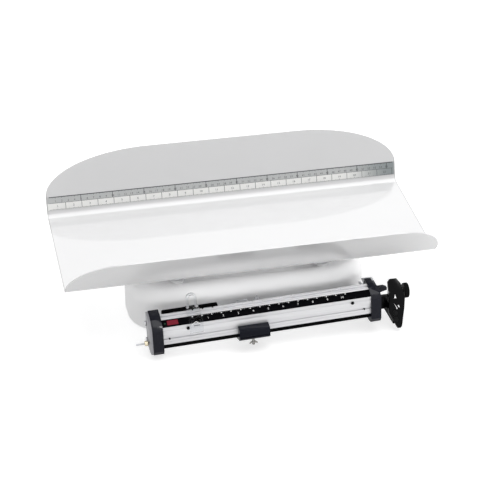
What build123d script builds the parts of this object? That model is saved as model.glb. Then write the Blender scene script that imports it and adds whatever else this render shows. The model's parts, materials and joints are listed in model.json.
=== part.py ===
from build123d import *
import os
from math import atan2, cos, degrees, radians, sin, sqrt, tan

# Mechanical baby scale: a sheet tray on a lever base, weighed with a beam and sliding poises in front.
# Millimetres. +X to the right, +Y to the back, +Z up. The origin is on the floor, under the middle of
# the scale's outer box. At rest the beam lies against its upper stop, so its right end points up a little.

os.makedirs("parts", exist_ok=True)

# Tray sheet
tray_width = 569.0
sheet = 1.6
ruler_line_y = 134.0
ruler_line_z = 143.0
back_lean = 16.0
back_rise = 66.0
back_corner_length = 165.0
ruler_length = 565.0
ruler_height = 20.8
ruler_thickness = 0.6
bend_drop = 9.6
bend_radius = 14.0
lip_y = -70.4
lip_z = 91.2
lip_radius = 8.0
front_lean = 40.0
front_height = 88.0
front_corner_length = 80.0
front_corner_height = 80.0

# Base housing, plate and feet
base_width = 368.0
base_front = -77.6
base_depth = 148.0
base_corner = 62.0
base_height = 72.0
base_edge_radius = 25.0
base_wall = 3.0
foot_height = 5.0
foot_radius = 12.0
foot_side_inset = 44.0
foot_front_y = -50.0
foot_back_y = 45.0
plate_thickness = 3.0
plate_gap = 0.3
boss_radius = 5.0
boss_side_inset = 28.0
boss_front_y = -26.0
boss_back_y = 22.0
screw_radius = 2.0
screw_head_radius = 3.8
screw_head_height = 2.4
base_screw_length = 14.0
foot_web = 1.5
foot_edge = 1.0
mouth_left = -42.0
mouth_right = 14.0
mouth_top = 40.0
stand_back_y = -58.0
stand_foot = 4.0
stand_screw_spots = [(-5.0, -64.0), (5.0, -64.0)]
index_pad_pitch = 20.0
thread_gap = 0.05

# Lever system inside the base
pivot_z = 24.0
knife_side = 6.0
knife_gap = 0.05
bearing_angle = 120.0
bearing_width = 12.0
bearing_depth = 10.0
long_pivot_inset = 20.4
short_pivot_inset = 15.6
load_arm = 18.0
lever_bar = 8.0
lever_rise = 8.0
long_arm_inset = 74.0
lever_spacing = 18.0
nose_arm_width = 12.0
nose_y = -92.0
crossbar_z = 11.0
crossbar_height = 4.5

# Platform that carries the tray
frame_z = 44.0
frame_thickness = 4.0
frame_rim = 40.0
post_radius = 7.0
post_hole_gap = 1.2
collar_rim = 3.0
collar_lift = 0.6
collar_height = 4.5
collar_round = 2.4
rail_base_z = 80.0
rail_width = 26.0
rail_wall = 3.0
rail_front_reach = 10.0
rail_back_reach = 12.0
pad_thickness = 2.0
stud_radius = 3.0
stud_length = 5.4
stud_inset = 12.0
nut_across = 10.0
nut_height = 5.0
screw_play = 0.4
post_screw_length = 12.0

# Weighing beam, drawn level about its fulcrum edge and turned by its rest angle
beam_rest_tilt = 1.9
fulcrum_z = 50.0
link_arm = 24.0
link_width = 24.0
link_side = 3.0
link_depth = 12.0
slot_play = 0.8
slot_head = 3.0
loop_rim = 6.0
loop_depth = 6.0
knife_length = 12.0
yoke_thickness = 4.0
yoke_width = 108.0
yoke_top = 6.0
yoke_bottom = -14.0
stop_x = 48.0
stop_radius = 2.2
stop_gap = 0.1
stand_width = 18.0
beam_rear = -105.0
beam_front = -140.0
beam_left = -168.2
beam_right = 178.0
cap_width = 15.5
cap_skin = 1.2
cap_top = 19.0
cap_crown_y = -120.0
cap_shoulder_y = -128.5
cap_shoulder = 16.4
cap_brow_y = -138.3
cap_brow = 10.6
cap_cheek_y = -142.5
cap_cheek = 4.5
cap_chin_y = -144.3
cap_chin = -29.5
cap_jaw_y = -140.5
cap_jaw = -36.5
cap_foot = -39.0
cap_heel = 4.0
cap_round = 1.0
cap_step = 5.5
cap_step_height = 13.0
channel_width = 10.4
channel_floor = 7.4
rear_wall = 2.0
rear_wall_top = 10.0
rail_one_top = 17.6
rail_one_width = 3.0
valley_floor = 13.5
valley_width = 2.6
rail_two_top = 15.0
rail_two_width = 4.6
scale_top_y = -129.0
scale_top = 14.4
scale_bottom = 9.1
scale_thickness = 1.5
front_bottom = -21.4
beam_bottom = -31.0
strip_depth = 5.0
strip_thickness = 3.3
beam_wall = 2.2
front_wall = 4.0
notch_pitch = 15.0
notch_count = 16
groove_top = -10.4
groove_height = 2.6
groove_depth = 1.9
line_groove = 0.7
line_depth = 0.4
line_heights = (2.0, -17.0)
notch_width = 3.0
notch_depth = 2.0
port_radius = 4.0
port_spots = [(-110.0, 1.4), (-110.0, -27.0)]
cap_screw_length = 14.0
side_plate_thickness = 3.5
side_plate_inset = 1.0
clip_left = 157.0
clip_step_width = 4.0
clip_step_top = 8.4
clip_width = 17.0
clip_top = 13.8
clip_sheet = 1.6
clip_foot = -13.0
clip_reach = 10.0
clip_screw_radius = 1.5
clip_screw_head = 2.6
clip_screw_rise = 1.2
clip_screw_spot = (170.0, -8.0)
clip_screw_length = 5.0
pin_radius = 1.2
pin_left = -143.4
pin_right = 152.3
pin_out = 1.5
plate_screw_left = -115.0
plate_screw_right = 134.0
plate_screw_height = 1.7
plate_screw_radius = 1.5
plate_screw_head = 2.6
plate_screw_rise = 1.0

# Poises, zero adjuster, pointer, index and lock
poise_length = 84.0
poise_start = 4.2
poise_gap = 0.4
poise_top = 18.4
bar_round = 2.5
cursor_sheet = 1.8
cursor_width = 20.0
cursor_offset = 3.0
cursor_bend_y = -121.0
cursor_face_y = -142.4
cursor_bend_height = 10.4
cursor_foot = -6.0
cursor_bend_radius = 1.5
handle_height = 23.0
handle_width = 15.5
handle_thickness = 3.2
handle_rim = 3.2
handle_y = -107.8
cursor_screw_x = 6.7
cursor_screw_y = -114.2
cursor_screw_radius = 1.5
cursor_screw_head = 2.4
cursor_screw_rise = 1.4
cursor_screw_depth = 8.0
tare_left = -41.5
tare_length = 46.0
tare_reach = 13.7
tare_gap = 0.4
tare_top = -8.5
tare_shoulder_in = 2.0
tare_shoulder = -10.5
tare_cheek = -16.0
tare_chin = -24.5
tare_sole = -28.5
tare_lip = 8.0
tare_foot = -35.0
tare_slope = 4.5
tongue_side = 0.3
tare_screw_x = -20.0
tare_screw_y = -147.0
tare_screw_bite = 3.0
slit_width = 1.2
wing_span = 13.0
wing_hub = 3.0
wing_top = -32.7
wing_bottom = -38.8
wing_thickness = 2.0
zero_stud_radius = 1.5
zero_stud_length = 20.0
zero_stud_y = -128.0
zero_stud_height = -21.8
zero_nut_radius = 4.0
zero_nut_length = 6.0
zero_nut_x = -173.0
zero_stud_hold = 12.0
pointer_length = 16.0
pointer_height = 9.5
pointer_y = -117.0
pointer_depth = 6.0
pointer_foot = 0.0
pointer_tip = 5.0
pointer_nib = 2.6
index_lean = 27.8
index_thickness = 5.0
index_foot_y = -148.0
index_foot_z = 7.0
index_arm_y = -92.0
index_arm_z = 21.5
index_arm_height = 21.0
index_arm_depth = 8.0
index_arm_inset = 38.0
index_arm_right = 207.0
index_pad_width = 12.0
arm_nut_height = 3.0
rim_width = 3.5
rim_height = 1.5
bracket_screw_ups = (13.0, 23.0)
bracket_top = 75.0
bracket_shoulder = 67.0
bracket_chest = 44.0
bracket_hip = 29.0
bracket_knee = 23.5
bracket_toe = 2.5
bracket_foot_half = 2.0
bracket_left = 10.7
bracket_left_hip = 13.4
bracket_right = 13.4
bracket_head_left = 7.0
bracket_head_right = 3.0
bracket_bevel = 4.5
notch_up = 55.5
notch_in = 2.0
window_left = 3.5
window_width = 5.0
window_up = 45.0
window_height = 8.0
slot_long = 10.0
slot_short = 5.0
slot_wide = 2.6
slot_up = 32.5
slot_lean = -60.0
bracket_screw_depth = 16.0
lock_boss_offset = 3.0
lock_boss_length = 7.0
lock_collar_length = 4.0
lock_collar_radius = 5.5
lock_knob_gap = 1.0
lock_fit = 0.1
lock_shaft_inside = 9.0
finger_width = 3.0
finger_length = 9.0
lock_y = -113.0
lock_z = 50.3
lock_shaft_radius = 3.0
lock_knob_radius = 11.5
lock_knob_length = 7.0
knob_round = 1.0

# Sizes worked out from the driving dimensions
half_width = tray_width / 2
lean_sin = sin(radians(back_lean))
lean_cos = cos(radians(back_lean))
front_sin = sin(radians(front_lean))
front_cos = cos(radians(front_lean))
bend_y = ruler_line_y - (ruler_height + bend_drop) * lean_sin
bend_z = ruler_line_z - (ruler_height + bend_drop) * lean_cos
trough_slope = atan2(bend_z - lip_z, bend_y - lip_y)
trough_cos = cos(trough_slope)
base_middle_y = base_front + base_depth / 2
base_flat = base_width / 2 - base_corner
foot_x = base_width / 2 - foot_side_inset
boss_x = base_width / 2 - boss_side_inset
long_pivot_y = base_front + base_depth - long_pivot_inset
short_pivot_y = base_front + short_pivot_inset
long_arm_x = base_width / 2 - long_arm_inset
short_arm_x = long_arm_x - lever_spacing
index_arm_left = base_flat - index_arm_inset
base_top = base_height
cover_ceiling = base_top - base_wall
plate_top = foot_height + plate_thickness
knife_half = knife_side / sqrt(2)
meet_y = (long_pivot_y + short_pivot_y) / 2
rear_load_y = long_pivot_y - load_arm
front_load_y = short_pivot_y + load_arm
rear_leg_x = long_arm_x + lever_bar / 2 + 7.0
front_leg_x = short_arm_x + lever_bar / 2 + 7.0
frame_top = frame_z + frame_thickness
rail_x = (rear_leg_x + front_leg_x) / 2
rail_gap = sheet + pad_thickness
rail_front_y = front_load_y - rail_front_reach
rail_back_y = rear_load_y + rail_back_reach
stud_ys = (front_load_y + stud_inset, rear_load_y - stud_inset)
post_ys = (front_load_y, rear_load_y)
post_spots = [(side * rail_x, y) for side in (-1, 1) for y in post_ys]
tilt_sin = sin(radians(beam_rest_tilt))
tilt_cos = cos(radians(beam_rest_tilt))
rail_left = beam_left + cap_width
cap_rear = beam_rear + cap_skin
rail_right = beam_right - cap_width
rail_length = rail_right - rail_left
groove_middle = groove_top - groove_height / 2
plate_screw_spots = [
    (plate_screw_left, plate_screw_height), (plate_screw_right, plate_screw_height)
]
notch_start = rail_left + poise_start + poise_length / 2 + cursor_offset
rail_middle = (rail_left + rail_right) / 2
channel_rear = beam_rear - rear_wall
channel_front = channel_rear - channel_width
scale_run = scale_top_y - beam_front
scale_fall = scale_top - scale_bottom
scale_slant = sqrt(scale_run**2 + scale_fall**2)
scale_in_y = scale_thickness * scale_fall / scale_slant
scale_in_z = scale_thickness * scale_run / scale_slant
slot_half = knife_half + slot_play
vee_rise = 1 / tan(radians(bearing_angle / 2))


def beam_section(along):
    """Plane across the beam: local x is +Y, local y rises up the beam from the fulcrum edge."""
    start = (along * tilt_cos, 0, fulcrum_z + along * tilt_sin)
    return Plane(origin=start, x_dir=(0, 1, 0), z_dir=(tilt_cos, 0, tilt_sin))


def beam_face(depth):
    """Plane along the beam seen from the front: local x runs along it, local y rises up it."""
    return Plane(origin=(0, depth, fulcrum_z), x_dir=(tilt_cos, 0, tilt_sin), z_dir=(0, -1, 0))


def beam_level(rise):
    """Plane along the beam seen from above: local x runs along it, local y is +Y."""
    start = (-rise * tilt_sin, 0, fulcrum_z + rise * tilt_cos)
    return Plane(origin=start, x_dir=(tilt_cos, 0, tilt_sin), z_dir=(-tilt_sin, 0, tilt_cos))


def under_tray(y, gap):
    """Height at a place along the trough, a gap below the sheet's upper face."""
    return lip_z + (y - lip_y) * tan(trough_slope) - gap / trough_cos


def stud_seat(side, y):
    """Plane on the underside of the trough over a rail, facing down square to the sheet."""
    return Plane(
        origin=(side * rail_x, y, under_tray(y, sheet)),
        x_dir=(1, 0, 0),
        z_dir=(0, sin(trough_slope), -trough_cos),
    )


def corner_waste(plane, foot, length, height):
    """Sheet outside an elliptical upper corner, on both sides of the middle."""
    spare = sheet + height
    with BuildSketch(plane) as waste:
        with BuildLine():
            rim = EllipticalCenterArc(
                (half_width - length, foot), length, height, start_angle=0, arc_size=90
            )
            Polyline(
                rim @ 1,
                (half_width - length, foot + height + spare),
                (half_width + spare, foot + height + spare),
                (half_width + spare, foot),
                rim @ 0,
            )
        make_face()
        mirror(about=Plane.YZ)
    return waste.sketch


# Tray: leaning back panel, sloping trough and leaning front wall folded from one sheet
with BuildPart() as tray:
    with BuildSketch(Plane.YZ):
        with BuildLine():
            fold = FilletPolyline(
                (ruler_line_y + back_rise * lean_sin, ruler_line_z + back_rise * lean_cos),
                (bend_y, bend_z),
                (lip_y, lip_z),
                (lip_y - front_height * front_sin, lip_z + front_height * front_cos),
                radius=[bend_radius, lip_radius],
            )
            offset(amount=sheet, side=Side.LEFT)
        make_face()
    extrude(amount=half_width, both=True)
    behind_panel = Plane.XZ.offset(-(ruler_line_y + back_rise))
    extrude(
        corner_waste(behind_panel, ruler_line_z, back_corner_length, back_rise * lean_cos),
        amount=back_rise + ruler_height,
        mode=Mode.SUBTRACT,
    )
    front_waste_foot = lip_z + (front_height - front_corner_height) * front_cos
    extrude(
        corner_waste(
            Plane.XZ.offset(-lip_y), front_waste_foot, front_corner_length,
            front_corner_height * front_cos,
        ),
        amount=front_height,
        mode=Mode.SUBTRACT,
    )
tray.part.label = "tray"
export_step(tray.part, "parts/tray.step")

# Ruler strip bonded along the foot of the back panel
panel_face = Plane(
    origin=(0, ruler_line_y, ruler_line_z), x_dir=(1, 0, 0), z_dir=(0, -lean_cos, lean_sin)
)
with BuildPart() as ruler_strip:
    with BuildSketch(panel_face):
        with Locations((0, -ruler_height / 2)):
            Rectangle(ruler_length, ruler_height)
    extrude(amount=ruler_thickness)
ruler_strip.part.label = "ruler_strip"
export_step(ruler_strip.part, "parts/ruler_strip.step")

# Tray rails: one folded wedge under each side of the trough, a closed ring seen from the side
with BuildPart() as tray_rails:
    for side in (-1, 1):
        with BuildSketch(Plane.YZ.offset(side * rail_x - rail_width / 2)):
            with BuildLine():
                Polyline(
                    (rail_front_y, rail_base_z),
                    (rail_back_y, rail_base_z),
                    (rail_back_y, under_tray(rail_back_y, rail_gap)),
                    (rail_front_y, under_tray(rail_front_y, rail_gap)),
                    close=True,
                )
            make_face()
            offset(amount=-rail_wall, kind=Kind.INTERSECTION, mode=Mode.SUBTRACT)
        extrude(amount=rail_width)
    with BuildSketch(Plane.XY.offset(rail_base_z)):
        with Locations(*post_spots):
            Circle(screw_radius + screw_play)
    extrude(amount=rail_wall, mode=Mode.SUBTRACT)
    for side in (-1, 1):
        for y in stud_ys:
            with BuildSketch(stud_seat(side, y)):
                Circle(stud_radius + screw_play)
            extrude(amount=pad_thickness + rail_wall + 1.0, mode=Mode.SUBTRACT)
tray_rails.part.label = "tray_rails"
export_step(tray_rails.part, "parts/tray_rails.step")

# Rubber pads between the rails and the tray
with BuildPart() as tray_pads:
    for side in (-1, 1):
        with BuildSketch(Plane.YZ.offset(side * rail_x - rail_width / 2)):
            with BuildLine():
                Polyline(
                    (rail_front_y, under_tray(rail_front_y, rail_gap)),
                    (rail_back_y, under_tray(rail_back_y, rail_gap)),
                    (rail_back_y, under_tray(rail_back_y, sheet)),
                    (rail_front_y, under_tray(rail_front_y, sheet)),
                    close=True,
                )
            make_face()
        extrude(amount=rail_width)
    for side in (-1, 1):
        for y in stud_ys:
            with BuildSketch(stud_seat(side, y)):
                Circle(stud_radius + screw_play)
            extrude(amount=pad_thickness + rail_wall + 1.0, mode=Mode.SUBTRACT)
tray_pads.part.label = "tray_pads"
export_step(tray_pads.part, "parts/tray_pads.step")

# Threaded studs welded under the tray, square to the trough
with BuildPart() as tray_studs:
    for side in (-1, 1):
        for y in stud_ys:
            with BuildSketch(stud_seat(side, y)):
                Circle(stud_radius)
            extrude(amount=pad_thickness + rail_wall + stud_length)
tray_studs.part.label = "tray_studs"
export_step(tray_studs.part, "parts/tray_studs.step")

# Knurled nuts on the studs, tightened against the inside of the rails
with BuildPart() as tray_nuts:
    for side in (-1, 1):
        for y in stud_ys:
            with BuildSketch(stud_seat(side, y).offset(pad_thickness + rail_wall)):
                RegularPolygon(nut_across / sqrt(3), 6)
                Circle(stud_radius + thread_gap, mode=Mode.SUBTRACT)
            extrude(amount=nut_height)
tray_nuts.part.label = "tray_nuts"
export_step(tray_nuts.part, "parts/tray_nuts.step")

# Load frame: a flat steel ring inside the base that gathers the four load points
with BuildPart() as load_frame:
    with BuildSketch(Plane.XY.offset(frame_z)):
        with Locations((0, (rail_front_y + rail_back_y) / 2)):
            Rectangle(2 * rear_leg_x + bearing_width, rail_back_y - rail_front_y)
            Rectangle(
                2 * rear_leg_x + bearing_width - 2 * frame_rim,
                rail_back_y - rail_front_y - frame_rim,
                mode=Mode.SUBTRACT,
            )
    extrude(amount=frame_thickness)
load_frame.part.label = "load_frame"
export_step(load_frame.part, "parts/load_frame.step")

# Posts that pass through the top of the base to the tray rails
with BuildPart() as tray_posts:
    with BuildSketch(Plane.XY.offset(frame_top)):
        with Locations(*post_spots):
            Circle(post_radius)
    extrude(amount=rail_base_z - frame_top)
    with BuildSketch(Plane.XY.offset(rail_base_z)):
        with Locations(*post_spots):
            Circle(screw_radius + thread_gap)
    extrude(amount=-post_screw_length, mode=Mode.SUBTRACT)
tray_posts.part.label = "tray_posts"
export_step(tray_posts.part, "parts/tray_posts.step")

# Domed collars on the posts, just above the base, that hide the holes
with BuildPart() as post_collars:
    with BuildSketch(Plane.XY.offset(base_top + collar_lift)):
        with Locations(*post_spots):
            Circle(post_radius + collar_rim)
    extrude(amount=collar_height)
    fillet(post_collars.edges().group_by(Axis.Z)[-1], radius=collar_round)
    with BuildSketch(Plane.XY.offset(base_top + collar_lift)):
        with Locations(*post_spots):
            Circle(post_radius)
    extrude(amount=collar_height, mode=Mode.SUBTRACT)
post_collars.part.label = "post_collars"
export_step(post_collars.part, "parts/post_collars.step")

# Screws that hold the rails on the posts
with BuildPart() as rail_screws:
    with BuildSketch(Plane.XY.offset(rail_base_z + rail_wall)):
        with Locations(*post_spots):
            Circle(screw_head_radius)
    extrude(amount=screw_head_height)
    with BuildSketch(Plane.XY.offset(rail_base_z + rail_wall)):
        with Locations(*post_spots):
            Circle(screw_radius)
    extrude(amount=-(rail_wall + post_screw_length - 1.0))
rail_screws.part.label = "rail_screws"
export_step(rail_screws.part, "parts/rail_screws.step")


def bearing_face(plane, y, foot, pivot, opens):
    """Bearing block seen from the side, with a wide vee at the pivot edge; opens is 1 up, -1 down."""
    half = bearing_depth / 2
    drop = (half - 1.0) * vee_rise
    with BuildSketch(plane) as face:
        with BuildLine():
            Polyline(
                (y - half, foot),
                (y + half, foot),
                (y + half, pivot + opens * drop),
                (y + half - 1.0, pivot + opens * drop),
                (y, pivot),
                (y - half + 1.0, pivot + opens * drop),
                (y - half, pivot + opens * drop),
                close=True,
            )
        make_face()
    return face.sketch


# Load bearings under the frame, each with a vee resting on a lever's upward edge
with BuildPart() as load_bearings:
    for side in (-1, 1):
        for leg_x, y in ((rear_leg_x, rear_load_y), (front_leg_x, front_load_y)):
            extrude(
                bearing_face(
                    Plane.YZ.offset(side * leg_x - bearing_width / 2),
                    y, frame_z, pivot_z + knife_gap, -1,
                ),
                amount=bearing_width,
            )
load_bearings.part.label = "load_bearings"
export_step(load_bearings.part, "parts/load_bearings.step")

# Pivot stands on the base plate, each with a vee under a lever's downward edge
with BuildPart() as long_lever_stands:
    for side in (-1, 1):
        extrude(
            bearing_face(
                Plane.YZ.offset(side * rear_leg_x - bearing_width / 2),
                long_pivot_y, plate_top, pivot_z - knife_gap, 1,
            ),
            amount=bearing_width,
        )
long_lever_stands.part.label = "long_lever_stands"
export_step(long_lever_stands.part, "parts/long_lever_stands.step")

with BuildPart() as short_lever_stands:
    for side in (-1, 1):
        extrude(
            bearing_face(
                Plane.YZ.offset(side * front_leg_x - bearing_width / 2),
                short_pivot_y, plate_top, pivot_z - knife_gap, 1,
            ),
            amount=bearing_width,
        )
short_lever_stands.part.label = "short_lever_stands"
export_step(short_lever_stands.part, "parts/short_lever_stands.step")


def knife_face(plane, y, pivot, points):
    """Square knife bar on its corner; points is 1 for an upward edge and -1 for a downward one."""
    with BuildSketch(plane) as face:
        with Locations((y, pivot - points * knife_half)):
            Rectangle(knife_side, knife_side, rotation=45)
    return face.sketch


# Long lever: two side arms, a back crossbar and the nose arm that runs out to the beam
arm_end_y = long_pivot_y + lever_bar
with BuildPart() as long_lever:
    for side in (-1, 1):
        with BuildSketch(Plane.YZ.offset(side * long_arm_x - lever_bar / 2)):
            with BuildLine():
                Polyline(
                    (arm_end_y, pivot_z - lever_rise),
                    (arm_end_y, pivot_z + lever_rise),
                    (rear_load_y - lever_rise, pivot_z + lever_rise),
                    (meet_y - lever_rise, pivot_z + lever_rise / 2),
                    (meet_y - lever_rise, pivot_z - lever_rise),
                    close=True,
                )
            make_face()
        extrude(amount=lever_bar)
    with BuildSketch(Plane.XY.offset(pivot_z - lever_rise)):
        with Locations((0, long_pivot_y)):
            Rectangle(2 * long_arm_x, lever_bar)
    extrude(amount=2 * lever_rise)
    with BuildSketch(Plane.YZ.offset(-link_arm - nose_arm_width / 2)):
        with BuildLine():
            Polyline(
                (long_pivot_y, pivot_z - lever_rise),
                (long_pivot_y, pivot_z + lever_rise),
                (nose_y - lever_rise, pivot_z + lever_rise + 1.5),
                (nose_y - lever_rise, pivot_z - lever_rise / 2),
                close=True,
            )
        make_face()
    extrude(amount=nose_arm_width)
    for side in (-1, 1):
        for y, points in ((long_pivot_y, -1), (rear_load_y, 1), (meet_y, 1)):
            extrude(
                knife_face(Plane.YZ.offset(side * long_arm_x - lever_bar / 2), y, pivot_z, points),
                amount=lever_bar,
                mode=Mode.SUBTRACT,
            )
    extrude(
        knife_face(Plane.YZ.offset(-link_arm - nose_arm_width / 2), nose_y, pivot_z, -1),
        amount=nose_arm_width,
        mode=Mode.SUBTRACT,
    )
long_lever.part.label = "long_lever"
export_step(long_lever.part, "parts/long_lever.step")

# Hardened knife bars pressed through the long lever
knife_reach = rear_leg_x + bearing_width / 2
with BuildPart() as long_lever_knives:
    for side in (-1, 1):
        outer = Plane.YZ.offset(side * (long_arm_x - lever_bar / 2))
        inner = Plane.YZ.offset(side * (long_arm_x + lever_bar / 2))
        outward = side * (knife_reach - long_arm_x + lever_bar / 2)
        inward = -side * (long_arm_x - short_arm_x + lever_bar)
        extrude(knife_face(outer, long_pivot_y, pivot_z, -1), amount=outward)
        extrude(knife_face(outer, rear_load_y, pivot_z, 1), amount=outward)
        extrude(knife_face(inner, meet_y, pivot_z, 1), amount=inward)
    extrude(
        knife_face(Plane.YZ.offset(-link_arm - link_width / 2), nose_y, pivot_z, -1),
        amount=link_width,
    )
long_lever_knives.part.label = "long_lever_knives"
export_step(long_lever_knives.part, "parts/long_lever_knives.step")

# Short lever: two side arms joined low down, its tail resting on the long lever's edge
with BuildPart() as short_lever:
    for side in (-1, 1):
        with BuildSketch(Plane.YZ.offset(side * short_arm_x - lever_bar / 2)):
            with BuildLine():
                Polyline(
                    (short_pivot_y - lever_bar, crossbar_z),
                    (meet_y - lever_bar, crossbar_z),
                    (meet_y - lever_bar, pivot_z + knife_gap),
                    (meet_y + lever_bar, pivot_z + knife_gap),
                    (meet_y + lever_bar, pivot_z + lever_rise),
                    (short_pivot_y - lever_bar, pivot_z + lever_rise),
                    close=True,
                )
            make_face()
        extrude(amount=lever_bar)
    with BuildSketch(Plane.XY.offset(crossbar_z)):
        with Locations((0, short_pivot_y + lever_bar)):
            Rectangle(2 * short_arm_x, lever_bar)
    extrude(amount=crossbar_height)
    for side in (-1, 1):
        for y, points in ((short_pivot_y, -1), (front_load_y, 1)):
            extrude(
                knife_face(Plane.YZ.offset(side * short_arm_x - lever_bar / 2), y, pivot_z, points),
                amount=lever_bar,
                mode=Mode.SUBTRACT,
            )
short_lever.part.label = "short_lever"
export_step(short_lever.part, "parts/short_lever.step")

# Hardened knife bars pressed through the short lever
short_knife_reach = front_leg_x + bearing_width / 2
with BuildPart() as short_lever_knives:
    for side in (-1, 1):
        outer = Plane.YZ.offset(side * (short_arm_x - lever_bar / 2))
        outward = side * (short_knife_reach - short_arm_x + lever_bar / 2)
        extrude(knife_face(outer, short_pivot_y, pivot_z, -1), amount=outward)
        extrude(knife_face(outer, front_load_y, pivot_z, 1), amount=outward)
short_lever_knives.part.label = "short_lever_knives"
export_step(short_lever_knives.part, "parts/short_lever_knives.step")

# Load link: a stirrup under the nose of the long lever and a loop over the beam's load edge
loop_top = fulcrum_z + loop_rim
bridge_z = pivot_z + 2 * knife_half + slot_head
load_edge_z = fulcrum_z - link_arm * tilt_sin
with BuildPart() as load_link:
    for side_x in (-link_arm - link_width / 2, -link_arm + link_width / 2 - link_side):
        with BuildSketch(Plane.YZ.offset(side_x)):
            with BuildLine():
                Polyline(
                    (nose_y - link_depth / 2, pivot_z - knife_gap - loop_rim),
                    (nose_y + link_depth / 2, pivot_z - knife_gap - loop_rim),
                    (nose_y + link_depth / 2, bridge_z),
                    (nose_y - link_depth / 2, bridge_z),
                    close=True,
                )
            make_face()
            with BuildLine():
                Polyline(
                    (nose_y, pivot_z - knife_gap),
                    (nose_y + slot_half, pivot_z - knife_gap + slot_half * vee_rise),
                    (nose_y + slot_half, bridge_z),
                    (nose_y - slot_half, bridge_z),
                    (nose_y - slot_half, pivot_z - knife_gap + slot_half * vee_rise),
                    close=True,
                )
            make_face(mode=Mode.SUBTRACT)
        extrude(amount=link_side)
    with BuildSketch(Plane.XY.offset(bridge_z)):
        with Locations((-link_arm, nose_y)):
            Rectangle(link_width, link_depth)
    extrude(amount=link_side)
    with BuildSketch(Plane.XZ.offset(-(nose_y - link_depth / 2))):
        with BuildLine():
            Polyline(
                (-link_arm - slot_half - link_side, bridge_z + link_side),
                (-link_arm - slot_half - link_side, loop_top),
                (-link_arm + slot_half + link_side, loop_top),
                (-link_arm + slot_half + link_side, bridge_z + link_side),
                close=True,
            )
        make_face()
        with BuildLine():
            Polyline(
                (-link_arm, load_edge_z + knife_gap),
                (-link_arm + slot_half, load_edge_z + knife_gap - slot_half * vee_rise),
                (-link_arm + slot_half, bridge_z + link_side),
                (-link_arm - slot_half, bridge_z + link_side),
                (-link_arm - slot_half, load_edge_z + knife_gap - slot_half * vee_rise),
                close=True,
            )
        make_face(mode=Mode.SUBTRACT)
    extrude(amount=-loop_depth)
load_link.part.label = "load_link"
export_step(load_link.part, "parts/load_link.step")


def base_outline(plane, inset):
    """Rounded outline of the base, drawn in by an inset."""
    with BuildSketch(plane) as outline:
        with Locations((0, base_middle_y)):
            RectangleRounded(
                base_width - 2 * inset, base_depth - 2 * inset, base_corner - inset
            )
    return outline.sketch


# Base cover: a deep white shell, open below, with post holes on top and a mouth for the lever
boss_spots = [
    (-boss_x, boss_front_y), (boss_x, boss_front_y), (-boss_x, boss_back_y), (boss_x, boss_back_y)
]
index_pad_xs = (
    index_arm_left + index_pad_width / 2,
    index_arm_left + index_pad_width / 2 + index_pad_pitch,
)
arm_screw_spots = [(x, index_arm_z) for x in index_pad_xs]
with BuildPart() as base_cover:
    extrude(base_outline(Plane.XY.offset(foot_height), 0), amount=base_top - foot_height)
    extrude(
        base_outline(Plane.XY.offset(foot_height), base_wall),
        amount=cover_ceiling - foot_height,
        mode=Mode.SUBTRACT,
    )
    inner_rim = base_cover.edges().filter_by_position(
        Axis.Z, cover_ceiling - plate_gap, cover_ceiling + plate_gap
    )
    fillet(inner_rim, radius=base_edge_radius - base_wall)
    outer_rim = base_cover.edges().filter_by_position(
        Axis.Z, base_top - plate_gap, base_top + plate_gap
    )
    fillet(outer_rim, radius=base_edge_radius)
    with BuildSketch(Plane.XY.offset(cover_ceiling)):
        with Locations(*post_spots):
            Circle(post_radius + post_hole_gap)
    extrude(amount=base_wall, mode=Mode.SUBTRACT)
    with BuildSketch(Plane.XY.offset(plate_top)):
        with Locations(*boss_spots):
            Circle(boss_radius)
    extrude(amount=cover_ceiling - plate_top)
    with BuildSketch(Plane.XY.offset(plate_top)):
        with Locations(*boss_spots):
            Circle(screw_radius + thread_gap)
    extrude(amount=base_screw_length, mode=Mode.SUBTRACT)
    with BuildSketch(Plane.XZ.offset(-base_front)):
        with Locations(((mouth_left + mouth_right) / 2, (foot_height + mouth_top) / 2)):
            Rectangle(mouth_right - mouth_left, mouth_top - foot_height)
        with Locations(*arm_screw_spots):
            Circle(screw_radius + screw_play)
    extrude(amount=-base_wall, mode=Mode.SUBTRACT)
base_cover.part.label = "base_cover"
export_step(base_cover.part, "parts/base_cover.step")

# Base plate that closes the cover from below
foot_spots = [
    (-foot_x, foot_front_y), (foot_x, foot_front_y), (-foot_x, foot_back_y), (foot_x, foot_back_y)
]
with BuildPart() as base_plate:
    extrude(
        base_outline(Plane.XY.offset(foot_height), base_wall + plate_gap), amount=plate_thickness
    )
    with BuildSketch(Plane.XY.offset(foot_height)):
        with Locations(*boss_spots):
            Circle(screw_radius + screw_play)
        with Locations(*foot_spots):
            Circle(screw_radius + thread_gap)
        with Locations(*stand_screw_spots):
            Circle(screw_radius + thread_gap)
    extrude(amount=plate_thickness, mode=Mode.SUBTRACT)
base_plate.part.label = "base_plate"
export_step(base_plate.part, "parts/base_plate.step")

# Screws from below through the base plate into the cover's bosses
with BuildPart() as base_screws:
    with BuildSketch(Plane.XY.offset(foot_height)):
        with Locations(*boss_spots):
            Circle(screw_head_radius)
    extrude(amount=-screw_head_height)
    with BuildSketch(Plane.XY.offset(foot_height)):
        with Locations(*boss_spots):
            Circle(screw_radius)
    extrude(amount=plate_thickness + base_screw_length - 1.0)
base_screws.part.label = "base_screws"
export_step(base_screws.part, "parts/base_screws.step")

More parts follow.
